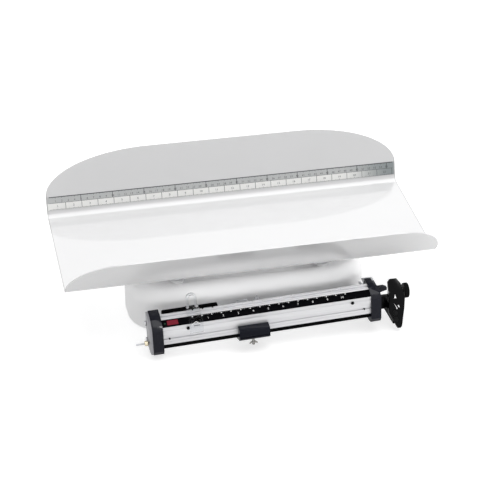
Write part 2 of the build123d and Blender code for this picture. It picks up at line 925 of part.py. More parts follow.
# Rubber feet, each with a sunk seat for its screw
with BuildPart() as feet:
    with BuildSketch(Plane.XY):
        with Locations(*foot_spots):
            Circle(foot_radius)
    extrude(amount=foot_height)
    fillet(feet.faces().group_by(Axis.Z)[0].edges(), radius=foot_edge)
    with BuildSketch(Plane.XY):
        with Locations(*foot_spots):
            Circle(screw_head_radius + screw_play)
    extrude(amount=foot_height - foot_web, mode=Mode.SUBTRACT)
    with BuildSketch(Plane.XY):
        with Locations(*foot_spots):
            Circle(screw_radius + screw_play)
    extrude(amount=foot_height, mode=Mode.SUBTRACT)
feet.part.label = "feet"
export_step(feet.part, "parts/feet.step")

with BuildPart() as foot_screws:
    with BuildSketch(Plane.XY.offset(foot_height - foot_web)):
        with Locations(*foot_spots):
            Circle(screw_head_radius)
    extrude(amount=-screw_head_height)
    with BuildSketch(Plane.XY.offset(foot_height - foot_web)):
        with Locations(*foot_spots):
            Circle(screw_radius)
    extrude(amount=foot_web + plate_thickness)
foot_screws.part.label = "foot_screws"
export_step(foot_screws.part, "parts/foot_screws.step")

# Beam stand: a foot on the base plate, a tongue out through the mouth, and an upright with a vee
stop_seat_z = plate_top + stand_foot
yoke_rear = beam_rear + yoke_thickness
upright_front = yoke_rear + 3.0
upright_depth = 6.0
stop_bar_front = beam_rear + 0.5
stop_y = (stop_bar_front + upright_front) / 2
with BuildPart() as beam_stand:
    with BuildSketch(Plane.XY.offset(plate_top)):
        with Locations((0, (upright_front + stand_back_y) / 2)):
            Rectangle(stand_width, stand_back_y - upright_front)
        with Locations((0, (stop_bar_front + upright_front) / 2)):
            Rectangle(2 * stop_x + 12.0, upright_front - stop_bar_front)
        with Locations(*stand_screw_spots):
            Circle(screw_radius + screw_play, mode=Mode.SUBTRACT)
        with Locations((-stop_x, stop_y), (stop_x, stop_y)):
            Circle(stop_radius + thread_gap, mode=Mode.SUBTRACT)
    extrude(amount=stand_foot)
    with BuildSketch(Plane.XZ.offset(-upright_front)):
        with BuildLine():
            Polyline(
                (-stand_width / 2, plate_top),
                (stand_width / 2, plate_top),
                (stand_width / 2, fulcrum_z + 1.0),
                (slot_half, fulcrum_z - knife_gap + slot_half * vee_rise),
                (0, fulcrum_z - knife_gap),
                (-slot_half, fulcrum_z - knife_gap + slot_half * vee_rise),
                (-stand_width / 2, fulcrum_z + 1.0),
                close=True,
            )
        make_face()
    extrude(amount=-upright_depth)
beam_stand.part.label = "beam_stand"
export_step(beam_stand.part, "parts/beam_stand.step")

with BuildPart() as stand_screws:
    with BuildSketch(Plane.XY.offset(stop_seat_z)):
        with Locations(*stand_screw_spots):
            Circle(screw_head_radius)
    extrude(amount=screw_head_height)
    with BuildSketch(Plane.XY.offset(stop_seat_z)):
        with Locations(*stand_screw_spots):
            Circle(screw_radius)
    extrude(amount=-(stand_foot + plate_thickness))
stand_screws.part.label = "stand_screws"
export_step(stand_screws.part, "parts/stand_screws.step")

# Stop screws in the stand; the yoke's lower edge lands on one at each end of the swing
stop_top = fulcrum_z + yoke_bottom * tilt_cos - stop_x * tilt_sin / tilt_cos - stop_gap
with BuildPart() as stop_screws:
    with BuildSketch(Plane.XY.offset(plate_top)):
        with Locations((-stop_x, stop_y), (stop_x, stop_y)):
            Circle(stop_radius)
    extrude(amount=stop_top - plate_top)
    with BuildSketch(Plane.XY.offset(stop_seat_z)):
        with Locations((-stop_x, stop_y), (stop_x, stop_y)):
            RegularPolygon(stop_radius + 0.9, 6)
            Circle(stop_radius, mode=Mode.SUBTRACT)
    extrude(amount=2.0)
stop_screws.part.label = "stop_screws"
export_step(stop_screws.part, "parts/stop_screws.step")

# Yoke: the plate on the beam's back that carries the knives and lands on the stop screws
with BuildPart() as beam_yoke:
    with BuildSketch(beam_face(yoke_rear)):
        with Locations((0, (yoke_top + yoke_bottom) / 2)):
            Rectangle(yoke_width, yoke_top - yoke_bottom)
    extrude(amount=yoke_thickness)
beam_yoke.part.label = "beam_yoke"
export_step(beam_yoke.part, "parts/beam_yoke.step")

# Hardened knives of the beam: the fulcrum edge points down, the load edge points up
with BuildPart() as beam_knives:
    with BuildSketch(beam_face(yoke_rear + knife_length)):
        with Locations((0, knife_half), (-link_arm, -knife_half)):
            Rectangle(knife_side, knife_side, rotation=45)
    extrude(amount=knife_length)
beam_knives.part.label = "beam_knives"
export_step(beam_knives.part, "parts/beam_knives.step")

# Beam rail: a hollow light-metal extrusion with a poise channel, a notched rail and a label seat
rail_one_front = channel_front - rail_one_width
valley_front = rail_one_front - valley_width
rail_two_front = valley_front - rail_two_width
strip_foot_y = beam_front + strip_depth
void_rear = beam_rear - beam_wall
void_top = channel_floor - beam_wall
void_front = beam_front + front_wall
void_bottom = beam_bottom + beam_wall
strip_slope = strip_depth / (front_bottom - beam_bottom)
void_knee = front_bottom + beam_wall
with BuildPart() as beam_rail:
    with BuildSketch(beam_section(rail_left)):
        with BuildLine():
            Polyline(
                (beam_rear, rear_wall_top),
                (channel_rear, rear_wall_top),
                (channel_rear, channel_floor),
                (channel_front, channel_floor),
                (channel_front, rail_one_top),
                (rail_one_front, rail_one_top),
                (rail_one_front, valley_floor),
                (valley_front, valley_floor),
                (valley_front, rail_two_top),
                (rail_two_front, rail_two_top),
                (scale_top_y + scale_in_y, scale_top - scale_in_z),
                (beam_front + scale_in_y, scale_bottom - scale_in_z),
                (beam_front, scale_bottom - scale_in_z),
                (beam_front, front_bottom),
                (beam_front + strip_thickness, front_bottom),
                (strip_foot_y + strip_thickness, beam_bottom),
                (beam_rear, beam_bottom),
                close=True,
            )
        make_face()
        with BuildLine():
            Polyline(
                (void_rear, void_top),
                (void_front, void_top),
                (void_front, void_knee),
                (void_front + strip_slope * (void_knee - void_bottom), void_bottom),
                (void_rear, void_bottom),
                close=True,
            )
        make_face(mode=Mode.SUBTRACT)
        with Locations(*port_spots):
            Circle(port_radius)
            Circle(screw_radius + thread_gap, mode=Mode.SUBTRACT)
    extrude(amount=rail_length)
    with BuildSketch(beam_face(beam_front)):
        for height in line_heights:
            with Locations((rail_middle, height)):
                Rectangle(rail_length, line_groove)
    extrude(amount=-line_depth, mode=Mode.SUBTRACT)
    with BuildSketch(beam_face(beam_front)):
        with Locations((rail_middle, groove_middle)):
            Rectangle(rail_length, groove_height)
    extrude(amount=-groove_depth, mode=Mode.SUBTRACT)
    with BuildSketch(beam_face(channel_front)):
        with BuildLine():
            Polyline(
                (notch_start - notch_width / 2, rail_one_top),
                (notch_start + notch_width / 2, rail_one_top),
                (notch_start, rail_one_top - notch_depth),
                close=True,
            )
        make_face()
    notch = extrude(amount=rail_one_width, mode=Mode.PRIVATE)
    step_x = notch_pitch * tilt_cos
    step_z = notch_pitch * tilt_sin
    for index in range(notch_count):
        add(notch.moved(Location((index * step_x, 0, index * step_z))), mode=Mode.SUBTRACT)
    with BuildSketch(beam_face(beam_front)):
        with Locations(*plate_screw_spots):
            Circle(plate_screw_radius + thread_gap)
    extrude(amount=-front_wall, mode=Mode.SUBTRACT)
beam_rail.part.label = "beam_rail"
export_step(beam_rail.part, "parts/beam_rail.step")

# Scale plate: the dark strip that carries the figures, bonded in its sloping seat
with BuildPart() as scale_plate:
    with BuildSketch(beam_section(rail_left)):
        with BuildLine():
            Polyline(
                (scale_top_y, scale_top),
                (beam_front, scale_bottom),
                (beam_front + scale_in_y, scale_bottom - scale_in_z),
                (scale_top_y + scale_in_y, scale_top - scale_in_z),
                close=True,
            )
        make_face()
    extrude(amount=rail_length)
scale_plate.part.label = "scale_plate"
export_step(scale_plate.part, "parts/scale_plate.step")

with BuildPart() as bottom_strip:
    with BuildSketch(beam_section(rail_left)):
        with BuildLine():
            Polyline(
                (beam_front, front_bottom),
                (strip_foot_y, beam_bottom),
                (strip_foot_y + strip_thickness, beam_bottom),
                (beam_front + strip_thickness, front_bottom),
                close=True,
            )
        make_face()
    extrude(amount=rail_length)
bottom_strip.part.label = "bottom_strip"
export_step(bottom_strip.part, "parts/bottom_strip.step")


def cap_outline(plane, inset):
    """Section of an end cap, drawn in by an inset."""
    with BuildSketch(plane) as outline:
        with BuildLine():
            Polyline(
                (cap_rear, cap_top),
                (cap_crown_y, cap_top),
                (cap_shoulder_y, cap_shoulder),
                (cap_brow_y, cap_brow),
                (cap_cheek_y, cap_cheek),
                (cap_chin_y, cap_chin),
                (cap_jaw_y, cap_jaw),
                (strip_foot_y + cap_heel, cap_foot),
                (beam_rear - cap_heel, cap_foot),
                (cap_rear, beam_bottom),
                close=True,
            )
        make_face()
        fillet(outline.vertices(), radius=cap_round)
        if inset:
            offset(amount=-inset, mode=Mode.REPLACE)
    return outline.sketch


# End caps with clearance holes for the screws that pull them onto the rail
with BuildPart() as left_cap:
    extrude(cap_outline(beam_section(beam_left), 0), amount=cap_width)
    with BuildSketch(beam_section(beam_left)):
        with Locations(*port_spots):
            Circle(screw_radius + screw_play)
    extrude(amount=cap_width, mode=Mode.SUBTRACT)
    with BuildSketch(beam_section(beam_left)):
        with Locations((zero_stud_y, zero_stud_height)):
            Circle(zero_stud_radius + thread_gap)
    extrude(amount=zero_stud_hold, mode=Mode.SUBTRACT)
left_cap.part.label = "left_cap"
export_step(left_cap.part, "parts/left_cap.step")

with BuildPart() as left_side_plate:
    extrude(
        cap_outline(beam_section(beam_left - side_plate_thickness), side_plate_inset),
        amount=side_plate_thickness,
    )
    with BuildSketch(beam_section(beam_left - side_plate_thickness)):
        with Locations(*port_spots):
            Circle(screw_radius + screw_play)
        with Locations((zero_stud_y, zero_stud_height)):
            Circle(zero_stud_radius + screw_play)
    extrude(amount=side_plate_thickness, mode=Mode.SUBTRACT)
left_side_plate.part.label = "left_side_plate"
export_step(left_side_plate.part, "parts/left_side_plate.step")

with BuildPart() as right_cap:
    extrude(cap_outline(beam_section(rail_right), 0), amount=cap_width)
    with BuildSketch(beam_section(beam_right - cap_step)):
        with Locations((rail_one_front, cap_step_height + cap_width)):
            Rectangle(4 * cap_width, 2 * cap_width)
    extrude(amount=cap_step, mode=Mode.SUBTRACT)
    with BuildSketch(beam_section(rail_right)):
        with Locations(*port_spots):
            Circle(screw_radius + screw_play)
    extrude(amount=cap_width, mode=Mode.SUBTRACT)
    with BuildSketch(beam_face(cap_rear)):
        with Locations(clip_screw_spot):
            Circle(clip_screw_radius + thread_gap)
    extrude(amount=clip_screw_length, mode=Mode.SUBTRACT)
right_cap.part.label = "right_cap"
export_step(right_cap.part, "parts/right_cap.step")

# Folded clip with a lower step, screwed to the right cap's rear face
with BuildPart() as end_clip:
    for left, width, top in (
        (clip_left, clip_step_width, clip_step_top),
        (clip_left + clip_step_width, clip_width, clip_top),
    ):
        with BuildSketch(beam_section(left)):
            with BuildLine():
                Polyline((cap_rear, clip_foot), (cap_rear, top), (cap_rear + clip_reach, top))
                offset(amount=clip_sheet, side=Side.RIGHT)
            make_face()
        extrude(amount=width)
    with BuildSketch(beam_face(cap_rear + clip_sheet)):
        with Locations(clip_screw_spot):
            Circle(clip_screw_radius + screw_play)
    extrude(amount=clip_sheet, mode=Mode.SUBTRACT)
end_clip.part.label = "end_clip"
export_step(end_clip.part, "parts/end_clip.step")

with BuildPart() as clip_screw:
    with BuildSketch(beam_face(cap_rear + clip_sheet)):
        with Locations(clip_screw_spot):
            Circle(clip_screw_head)
    extrude(amount=-clip_screw_rise)
    with BuildSketch(beam_face(cap_rear + clip_sheet)):
        with Locations(clip_screw_spot):
            Circle(clip_screw_radius)
    extrude(amount=clip_sheet + clip_screw_length)
clip_screw.part.label = "clip_screw"
export_step(clip_screw.part, "parts/clip_screw.step")

# Screws through the caps into the rail's ports
with BuildPart() as cap_screws:
    for face, way in ((beam_left - side_plate_thickness, 1), (beam_right, -1)):
        with BuildSketch(beam_section(face)):
            with Locations(*port_spots):
                Circle(screw_head_radius)
        extrude(amount=-way * screw_head_height)
        reach = cap_width + cap_screw_length
        if way == 1:
            reach += side_plate_thickness
        with BuildSketch(beam_section(face)):
            with Locations(*port_spots):
                Circle(screw_radius)
        extrude(amount=way * reach)
cap_screws.part.label = "cap_screws"
export_step(cap_screws.part, "parts/cap_screws.step")

with BuildPart() as front_screws:
    with BuildSketch(beam_face(beam_front)):
        with Locations(*plate_screw_spots):
            Circle(plate_screw_head)
    extrude(amount=plate_screw_rise)
    with BuildSketch(beam_face(beam_front)):
        with Locations(*plate_screw_spots):
            Circle(plate_screw_radius)
    extrude(amount=-front_wall)
front_screws.part.label = "front_screws"
export_step(front_screws.part, "parts/front_screws.step")

# Pins that end the small poise's travel, set in the floor of the long groove
with BuildPart() as poise_pins:
    with BuildSketch(beam_face(beam_front + groove_depth)):
        with Locations((pin_left, groove_middle), (pin_right, groove_middle)):
            Circle(pin_radius)
    extrude(amount=groove_depth + pin_out)
poise_pins.part.label = "poise_pins"
export_step(poise_pins.part, "parts/poise_pins.step")

# Zero adjuster: a threaded stud out of the left cap and a knurled nut on it
stud_plane = beam_section(beam_left + zero_stud_hold)
with BuildPart() as zero_stud:
    with BuildSketch(stud_plane):
        with Locations((zero_stud_y, zero_stud_height)):
            Circle(zero_stud_radius)
    extrude(amount=-(zero_stud_hold + side_plate_thickness + zero_stud_length))
zero_stud.part.label = "zero_stud"
export_step(zero_stud.part, "parts/zero_stud.step")

with BuildPart() as zero_nut:
    with BuildSketch(beam_section(zero_nut_x)):
        with Locations((zero_stud_y, zero_stud_height)):
            Circle(zero_nut_radius)
            Circle(zero_stud_radius + thread_gap, mode=Mode.SUBTRACT)
    extrude(amount=-zero_nut_length)
zero_nut.part.label = "zero_nut"
export_step(zero_nut.part, "parts/zero_nut.step")

# Pointer at the right end of the beam
with BuildPart() as pointer:
    with BuildSketch(beam_face(pointer_y + pointer_depth / 2)):
        with BuildLine():
            Polyline(
                (beam_right, pointer_foot),
                (beam_right, pointer_foot + pointer_height),
                (beam_right + pointer_length - pointer_tip, pointer_foot + pointer_height),
                (beam_right + pointer_length, pointer_foot + pointer_height - pointer_nib),
                (beam_right + pointer_length, pointer_foot + pointer_nib),
                (beam_right + pointer_tip, pointer_foot),
                (beam_right, pointer_foot - pointer_height),
                close=True,
            )
        make_face()
    extrude(amount=pointer_depth)
pointer.part.label = "pointer"
export_step(pointer.part, "parts/pointer.step")

# Main poise: a steel bar that slides along the channel
bar_left = rail_left + poise_start
bar_rear = channel_rear - poise_gap
bar_front = channel_front + poise_gap
bar_floor = channel_floor + poise_gap
cursor_x = notch_start
cursor_screw_spots = [
    (cursor_x - cursor_screw_x, cursor_screw_y), (cursor_x + cursor_screw_x, cursor_screw_y)
]
with BuildPart() as poise_bar:
    with BuildSketch(beam_section(bar_left)):
        with BuildLine():
            Polyline(
                (bar_rear, bar_floor),
                (bar_rear, poise_top),
                (bar_front, poise_top),
                (bar_front, bar_floor),
                close=True,
            )
        make_face()
    extrude(amount=poise_length)
    corners = poise_bar.edges().filter_by(Axis.Y).group_by(Axis.Z)
    fillet(corners[-1] + corners[-2], radius=bar_round)
    with BuildSketch(beam_level(poise_top)):
        with Locations(*cursor_screw_spots):
            Circle(cursor_screw_radius + thread_gap)
    extrude(amount=-cursor_screw_depth, mode=Mode.SUBTRACT)
poise_bar.part.label = "poise_bar"
export_step(poise_bar.part, "parts/poise_bar.step")

# Clear cursor over the rails and the scale, moulded in one with the arch it is pushed by
cover_top = poise_top + cursor_sheet
arch_middle = poise_top + handle_height - handle_width / 2
with BuildPart() as poise_cursor:
    with BuildSketch(beam_section(cursor_x - cursor_width / 2)):
        with BuildLine():
            FilletPolyline(
                (bar_rear, poise_top),
                (cursor_bend_y, poise_top),
                (cursor_face_y, cursor_bend_height),
                (cursor_face_y, cursor_foot),
                radius=cursor_bend_radius,
            )
            offset(amount=cursor_sheet, side=Side.RIGHT)
        make_face()
    extrude(amount=cursor_width)
    with BuildSketch(beam_face(handle_y)):
        with Locations((cursor_x, (poise_top + arch_middle) / 2)):
            Rectangle(handle_width, arch_middle - poise_top)
        with Locations((cursor_x, arch_middle)):
            Circle(handle_width / 2)
            Circle(handle_width / 2 - handle_rim, mode=Mode.SUBTRACT)
        with Locations((cursor_x, (cover_top + arch_middle) / 2)):
            Rectangle(handle_width - 2 * handle_rim, arch_middle - cover_top, mode=Mode.SUBTRACT)
    extrude(amount=handle_thickness)
    with BuildSketch(beam_level(poise_top)):
        with Locations(*cursor_screw_spots):
            Circle(cursor_screw_radius + screw_play)
    extrude(amount=cursor_sheet, mode=Mode.SUBTRACT)
poise_cursor.part.label = "poise_cursor"
export_step(poise_cursor.part, "parts/poise_cursor.step")

with BuildPart() as cursor_screws:
    with BuildSketch(beam_level(cover_top)):
        with Locations(*cursor_screw_spots):
            Circle(cursor_screw_head)
    extrude(amount=cursor_screw_rise)
    with BuildSketch(beam_level(cover_top)):
        with Locations(*cursor_screw_spots):
            Circle(cursor_screw_radius)
    extrude(amount=-(cursor_sheet + cursor_screw_depth))
cursor_screws.part.label = "cursor_screws"
export_step(cursor_screws.part, "parts/cursor_screws.step")

# Small poise: a block hooked round the lower front edge of the beam, with a tongue in its groove
tare_screw_tip = front_bottom + tare_screw_bite
block_front = beam_front - tare_reach
block_back = beam_front - tare_gap
slip_z = beam_bottom - tare_gap
groove_bottom = groove_top - groove_height
with BuildPart() as tare_block:
    with BuildSketch(beam_section(tare_left)):
        with BuildLine():
            Polyline(
                (block_back, tare_top),
                (block_front + tare_shoulder_in, tare_shoulder),
                (block_front, tare_cheek),
                (block_front, tare_chin),
                (block_front + tare_slope, tare_sole),
                (strip_foot_y + tare_slope, tare_foot),
                (strip_foot_y + tare_lip, tare_foot),
                (strip_foot_y + tare_lip, slip_z),
                (strip_foot_y - tare_gap, slip_z),
                (block_back, front_bottom - tare_gap / 2),
                (block_back, groove_bottom + tongue_side),
                (beam_front + groove_depth - tare_gap, groove_bottom + tongue_side),
                (beam_front + groove_depth - tare_gap, groove_top - tongue_side),
                (block_back, groove_top - tongue_side),
                close=True,
            )
        make_face()
    extrude(amount=tare_length)
    with BuildSketch(beam_section(tare_left)):
        with Locations((block_front, front_bottom)):
            Rectangle(2 * (tare_reach - slit_width - tare_gap), slit_width)
    extrude(amount=tare_length, mode=Mode.SUBTRACT)
    with BuildSketch(beam_level(tare_screw_tip)):
        with Locations((tare_screw_x, tare_screw_y)):
            Circle(screw_radius + thread_gap)
    extrude(amount=2 * tare_foot, mode=Mode.SUBTRACT)
    with BuildSketch(beam_level(front_bottom)):
        with Locations((tare_screw_x, tare_screw_y)):
            Circle(screw_radius + screw_play)
    extrude(amount=2 * tare_foot, mode=Mode.SUBTRACT)
tare_block.part.label = "tare_block"
export_step(tare_block.part, "parts/tare_block.step")

# Wing screw that pinches the slit of the small poise
with BuildPart() as tare_screw:
    with BuildSketch(beam_level(tare_screw_tip - 0.5)):
        with Locations((tare_screw_x, tare_screw_y)):
            Circle(screw_radius)
    extrude(amount=wing_bottom - tare_screw_tip)
    with BuildSketch(beam_level(wing_top)):
        with Locations((tare_screw_x, tare_screw_y)):
            Circle(wing_hub)
    extrude(amount=wing_bottom - wing_top)
    with BuildSketch(beam_face(tare_screw_y + wing_thickness / 2)):
        with BuildLine():
            Polyline(
                (tare_screw_x - wing_span / 2 + 2.0, wing_top - 1.0),
                (tare_screw_x + wing_span / 2 - 2.0, wing_top - 1.0),
                (tare_screw_x + wing_span / 2, wing_bottom),
                (tare_screw_x + wing_hub, wing_bottom),
                (tare_screw_x, wing_bottom + 2.0),
                (tare_screw_x - wing_hub, wing_bottom),
                (tare_screw_x - wing_span / 2, wing_bottom),
                close=True,
            )
        make_face()
    extrude(amount=wing_thickness)
tare_screw.part.label = "tare_screw"
export_step(tare_screw.part, "parts/tare_screw.step")

# Index arm: a bar from the base out past the right end of the beam
index_sin = sin(radians(index_lean))
index_cos = cos(radians(index_lean))
arm_front = index_arm_y - index_arm_depth / 2
arm_back = index_arm_y + index_arm_depth / 2
arm_bottom = index_arm_z - index_arm_height / 2
arm_top = index_arm_z + index_arm_height / 2


index_plane = Plane(
    origin=(index_arm_right, index_foot_y, index_foot_z),
    x_dir=(1, 0, 0),
    z_dir=(0, -index_cos, index_sin),
)
bracket_screw_spots = [(-index_arm_depth / 2, up) for up in bracket_screw_ups]
lock_boss_left = index_arm_right + lock_boss_offset
lock_boss_right = lock_boss_left + lock_boss_length
lock_collar_right = lock_boss_right + lock_collar_length
lock_knob_left = lock_collar_right + lock_knob_gap
finger_left = index_arm_right - lock_shaft_inside


def bracket_point(up, depth):
    """Point in the side view, up along the leaning bracket and a depth behind its front face."""
    return (
        index_foot_y + up * index_sin + depth * index_cos,
        index_foot_z + up * index_cos - depth * index_sin,
    )


def bracket_rear_y(height):
    """Where the rear face of the leaning bracket is at a height."""
    return index_foot_y + ((height - index_foot_z) * index_sin + index_thickness) / index_cos


with BuildPart() as index_arm:
    with BuildSketch(Plane.XZ.offset(-arm_back)):
        with Locations(((index_arm_left + index_arm_right) / 2, index_arm_z)):
            Rectangle(index_arm_right - index_arm_left, index_arm_height)
    extrude(amount=index_arm_depth)
    with BuildSketch(Plane.XZ.offset(-base_front)):
        for x in index_pad_xs:
            with Locations((x, index_arm_z)):
                Rectangle(index_pad_width, index_arm_height)
    extrude(amount=base_front - arm_back)
    with BuildSketch(Plane.YZ.offset(index_arm_right)):
        with BuildLine():
            Polyline(
                (arm_front, arm_bottom),
                (bracket_rear_y(arm_bottom), arm_bottom),
                (bracket_rear_y(arm_top), arm_top),
                (arm_front, arm_top),
                close=True,
            )
        make_face()
    extrude(amount=-index_arm_depth)
    with BuildSketch(Plane.XZ.offset(-base_front)):
        with Locations(*arm_screw_spots):
            Circle(screw_radius + screw_play)
    extrude(amount=base_front - arm_front, mode=Mode.SUBTRACT)
    with BuildSketch(index_plane):
        with Locations(*bracket_screw_spots):
            Circle(screw_radius + thread_gap)
    extrude(amount=-bracket_screw_depth, mode=Mode.SUBTRACT)
index_arm.part.label = "index_arm"
export_step(index_arm.part, "parts/index_arm.step")

with BuildPart() as arm_screws:
    with BuildSketch(Plane.XZ.offset(-arm_front)):
        with Locations(*arm_screw_spots):
            Circle(screw_head_radius)
    extrude(amount=screw_head_height)
    with BuildSketch(Plane.XZ.offset(-arm_front)):
        with Locations(*arm_screw_spots):
            Circle(screw_radius)
    extrude(amount=arm_front - base_front - base_wall - arm_nut_height)
arm_screws.part.label = "arm_screws"
export_step(arm_screws.part, "parts/arm_screws.step")

with BuildPart() as arm_nuts:
    with BuildSketch(Plane.XZ.offset(-base_front - base_wall)):
        with Locations(*arm_screw_spots):
            RegularPolygon(2 * screw_radius, 6)
            Circle(screw_radius + thread_gap, mode=Mode.SUBTRACT)
    extrude(amount=-arm_nut_height)
arm_nuts.part.label = "arm_nuts"
export_step(arm_nuts.part, "parts/arm_nuts.step")

# Index bracket: the leaning plate beside the pointer, with a raised rim, windows and a lock boss
lock_up = (lock_y - index_foot_y) * index_sin + (lock_z - index_foot_z) * index_cos
lock_depth = (lock_y - index_foot_y) * index_cos - (lock_z - index_foot_z) * index_sin
boss_half = 2 * lock_shaft_radius
with BuildPart() as index_bracket:
    with BuildSketch(index_plane) as bracket_face:
        with BuildLine():
            Polyline(
                (-bracket_foot_half, 0),
                (bracket_foot_half, 0),
                (bracket_bevel, bracket_toe),
                (bracket_right - bracket_toe, bracket_hip),
                (bracket_right, bracket_chest),
                (bracket_right - bracket_bevel, bracket_shoulder),
                (bracket_head_right, bracket_top),
                (-bracket_head_left, bracket_top),
                (-bracket_left, bracket_top - bracket_bevel),
                (-bracket_left, notch_up + notch_in),
                (-bracket_left + notch_in, notch_up),
                (-bracket_left, notch_up - notch_in),
                (-bracket_left, window_up),
                (-bracket_left_hip, bracket_knee),
                close=True,
            )
        make_face()
    extrude(amount=-index_thickness)
    with BuildSketch(index_plane):
        add(bracket_face.sketch)
        offset(amount=-rim_width, mode=Mode.REPLACE)
        with Locations(*bracket_screw_spots):
            Circle(screw_head_radius + screw_play)
    extrude(amount=-rim_height, mode=Mode.SUBTRACT)
    with BuildSketch(index_plane):
        with BuildLine():
            Polyline(
                (-window_left, window_up),
                (window_width - window_left, window_up),
                (window_width / 2 - window_left, window_up + window_height),
                close=True,
            )
        make_face()
        with Locations((-window_left / 2, slot_up)):
            SlotOverall(slot_long, slot_wide, rotation=slot_lean)
        with Locations((bracket_head_right, slot_up)):
            SlotOverall(slot_short, slot_wide, rotation=slot_lean)
    extrude(amount=-index_thickness, mode=Mode.SUBTRACT)
    with BuildSketch(Plane.YZ.offset(lock_boss_left)):
        with Locations((lock_y, lock_z)):
            Circle(boss_half)
        with BuildLine():
            Polyline(
                bracket_point(lock_up - boss_half, index_thickness),
                bracket_point(lock_up + boss_half, index_thickness),
                bracket_point(lock_up + boss_half, lock_depth),
                bracket_point(lock_up - boss_half, lock_depth),
                close=True,
            )
        make_face()
    extrude(amount=lock_boss_right - lock_boss_left)
    with BuildSketch(Plane.YZ.offset(lock_boss_left)):
        with Locations((lock_y, lock_z)):
            Circle(lock_shaft_radius + lock_fit)
    extrude(amount=lock_boss_right - lock_boss_left, mode=Mode.SUBTRACT)
    with BuildSketch(index_plane):
        with Locations(*bracket_screw_spots):
            Circle(screw_radius + screw_play)
    extrude(amount=-index_thickness, mode=Mode.SUBTRACT)
index_bracket.part.label = "index_bracket"
export_step(index_bracket.part, "parts/index_bracket.step")

with BuildPart() as bracket_screws:
    with BuildSketch(index_plane.offset(-rim_height)):
        with Locations(*bracket_screw_spots):
            Circle(screw_head_radius)
    extrude(amount=screw_head_height)
    with BuildSketch(index_plane.offset(-rim_height)):
        with Locations(*bracket_screw_spots):
            Circle(screw_radius)
    extrude(amount=rim_height - bracket_screw_depth + 1.0)
bracket_screws.part.label = "bracket_screws"
export_step(bracket_screws.part, "parts/bracket_screws.step")

# Beam lock: a shaft with a finger through the bracket's boss, a collar and a knurled knob
with BuildPart() as lock_shaft:
    with BuildSketch(Plane.YZ.offset(finger_left)):
        with Locations((lock_y, lock_z)):
            Circle(lock_shaft_radius)
    extrude(amount=lock_knob_left - finger_left)
    with BuildSketch(Plane.YZ.offset(finger_left)):
        with Locations((lock_y, lock_z - finger_length / 2)):
            Rectangle(2 * lock_shaft_radius, finger_length)
    extrude(amount=finger_width)
lock_shaft.part.label = "lock_shaft"
export_step(lock_shaft.part, "parts/lock_shaft.step")

with BuildPart() as lock_collar:
    with BuildSketch(Plane.YZ.offset(lock_boss_right)):
        with Locations((lock_y, lock_z)):
            Circle(lock_collar_radius)
            Circle(lock_shaft_radius + lock_fit, mode=Mode.SUBTRACT)
    extrude(amount=lock_collar_right - lock_boss_right)
lock_collar.part.label = "lock_collar"
export_step(lock_collar.part, "parts/lock_collar.step")

with BuildPart() as lock_knob:
    with BuildSketch(Plane.YZ.offset(lock_knob_left)):
        with Locations((lock_y, lock_z)):
            Circle(lock_knob_radius)
    extrude(amount=lock_knob_length)
    fillet(lock_knob.edges(), radius=knob_round)
lock_knob.part.label = "lock_knob"
export_step(lock_knob.part, "parts/lock_knob.step")
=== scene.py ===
"""Looks of a mechanical baby scale, built around its packed construction frame.

Metres, +X to the right along the beam, +Y to the tray's back, +Z up. Small lengths are written in
millimetres times MM. A place on the beam is given as (along, depth, rise): along the beam from the
fulcrum edge, the frame's own Y, and square to the beam upwards.
"""

import json
import math
import bmesh
import bpy
import numpy as np
from mathutils import Matrix, Vector


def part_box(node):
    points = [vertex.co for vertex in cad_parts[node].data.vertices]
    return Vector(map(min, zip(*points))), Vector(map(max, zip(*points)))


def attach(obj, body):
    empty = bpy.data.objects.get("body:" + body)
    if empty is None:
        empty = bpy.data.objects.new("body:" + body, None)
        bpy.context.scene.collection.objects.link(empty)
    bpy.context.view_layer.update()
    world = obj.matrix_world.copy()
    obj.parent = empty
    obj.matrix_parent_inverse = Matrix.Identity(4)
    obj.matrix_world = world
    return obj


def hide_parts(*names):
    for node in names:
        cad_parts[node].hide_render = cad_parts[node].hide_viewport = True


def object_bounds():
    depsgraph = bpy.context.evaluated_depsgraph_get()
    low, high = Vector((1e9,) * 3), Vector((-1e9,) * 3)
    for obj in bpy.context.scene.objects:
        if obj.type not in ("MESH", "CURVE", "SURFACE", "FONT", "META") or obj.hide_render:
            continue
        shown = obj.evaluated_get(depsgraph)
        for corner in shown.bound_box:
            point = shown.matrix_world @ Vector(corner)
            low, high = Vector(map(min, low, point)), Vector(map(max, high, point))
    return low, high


bl_info = {
    "name": "Mechanical baby scale",
    "version": (1, 0, 0),
    "blender": (4, 5, 0),
    "location": "View3D > Sidebar > Scale",
    "description": "Builds the visible surfaces, finishes and studio of a lever baby scale",
    "category": "Object",
}

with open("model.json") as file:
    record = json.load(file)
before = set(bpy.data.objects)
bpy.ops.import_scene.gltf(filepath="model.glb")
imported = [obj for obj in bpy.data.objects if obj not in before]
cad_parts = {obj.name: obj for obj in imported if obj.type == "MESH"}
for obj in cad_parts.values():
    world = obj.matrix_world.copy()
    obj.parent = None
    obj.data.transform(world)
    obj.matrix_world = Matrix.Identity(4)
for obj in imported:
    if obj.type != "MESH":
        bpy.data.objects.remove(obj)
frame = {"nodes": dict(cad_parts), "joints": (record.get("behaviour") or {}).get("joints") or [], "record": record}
cad_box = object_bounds()

MM = 0.001
SLOTS = {part["node"]: part["material_slot"] for part in frame["record"]["subparts"]}
JOINTS = {joint["name"]: joint for joint in frame["joints"]}
ALONG = np.array(JOINTS["main_poise_slide"]["axis"])
RISE = np.array([-ALONG[2], 0.0, ALONG[0]])
DEPTH = np.array([0.0, 1.0, 0.0])
FULCRUM = np.array([0.0, 0.0, JOINTS["beam_swing"]["pos_m"][2]])


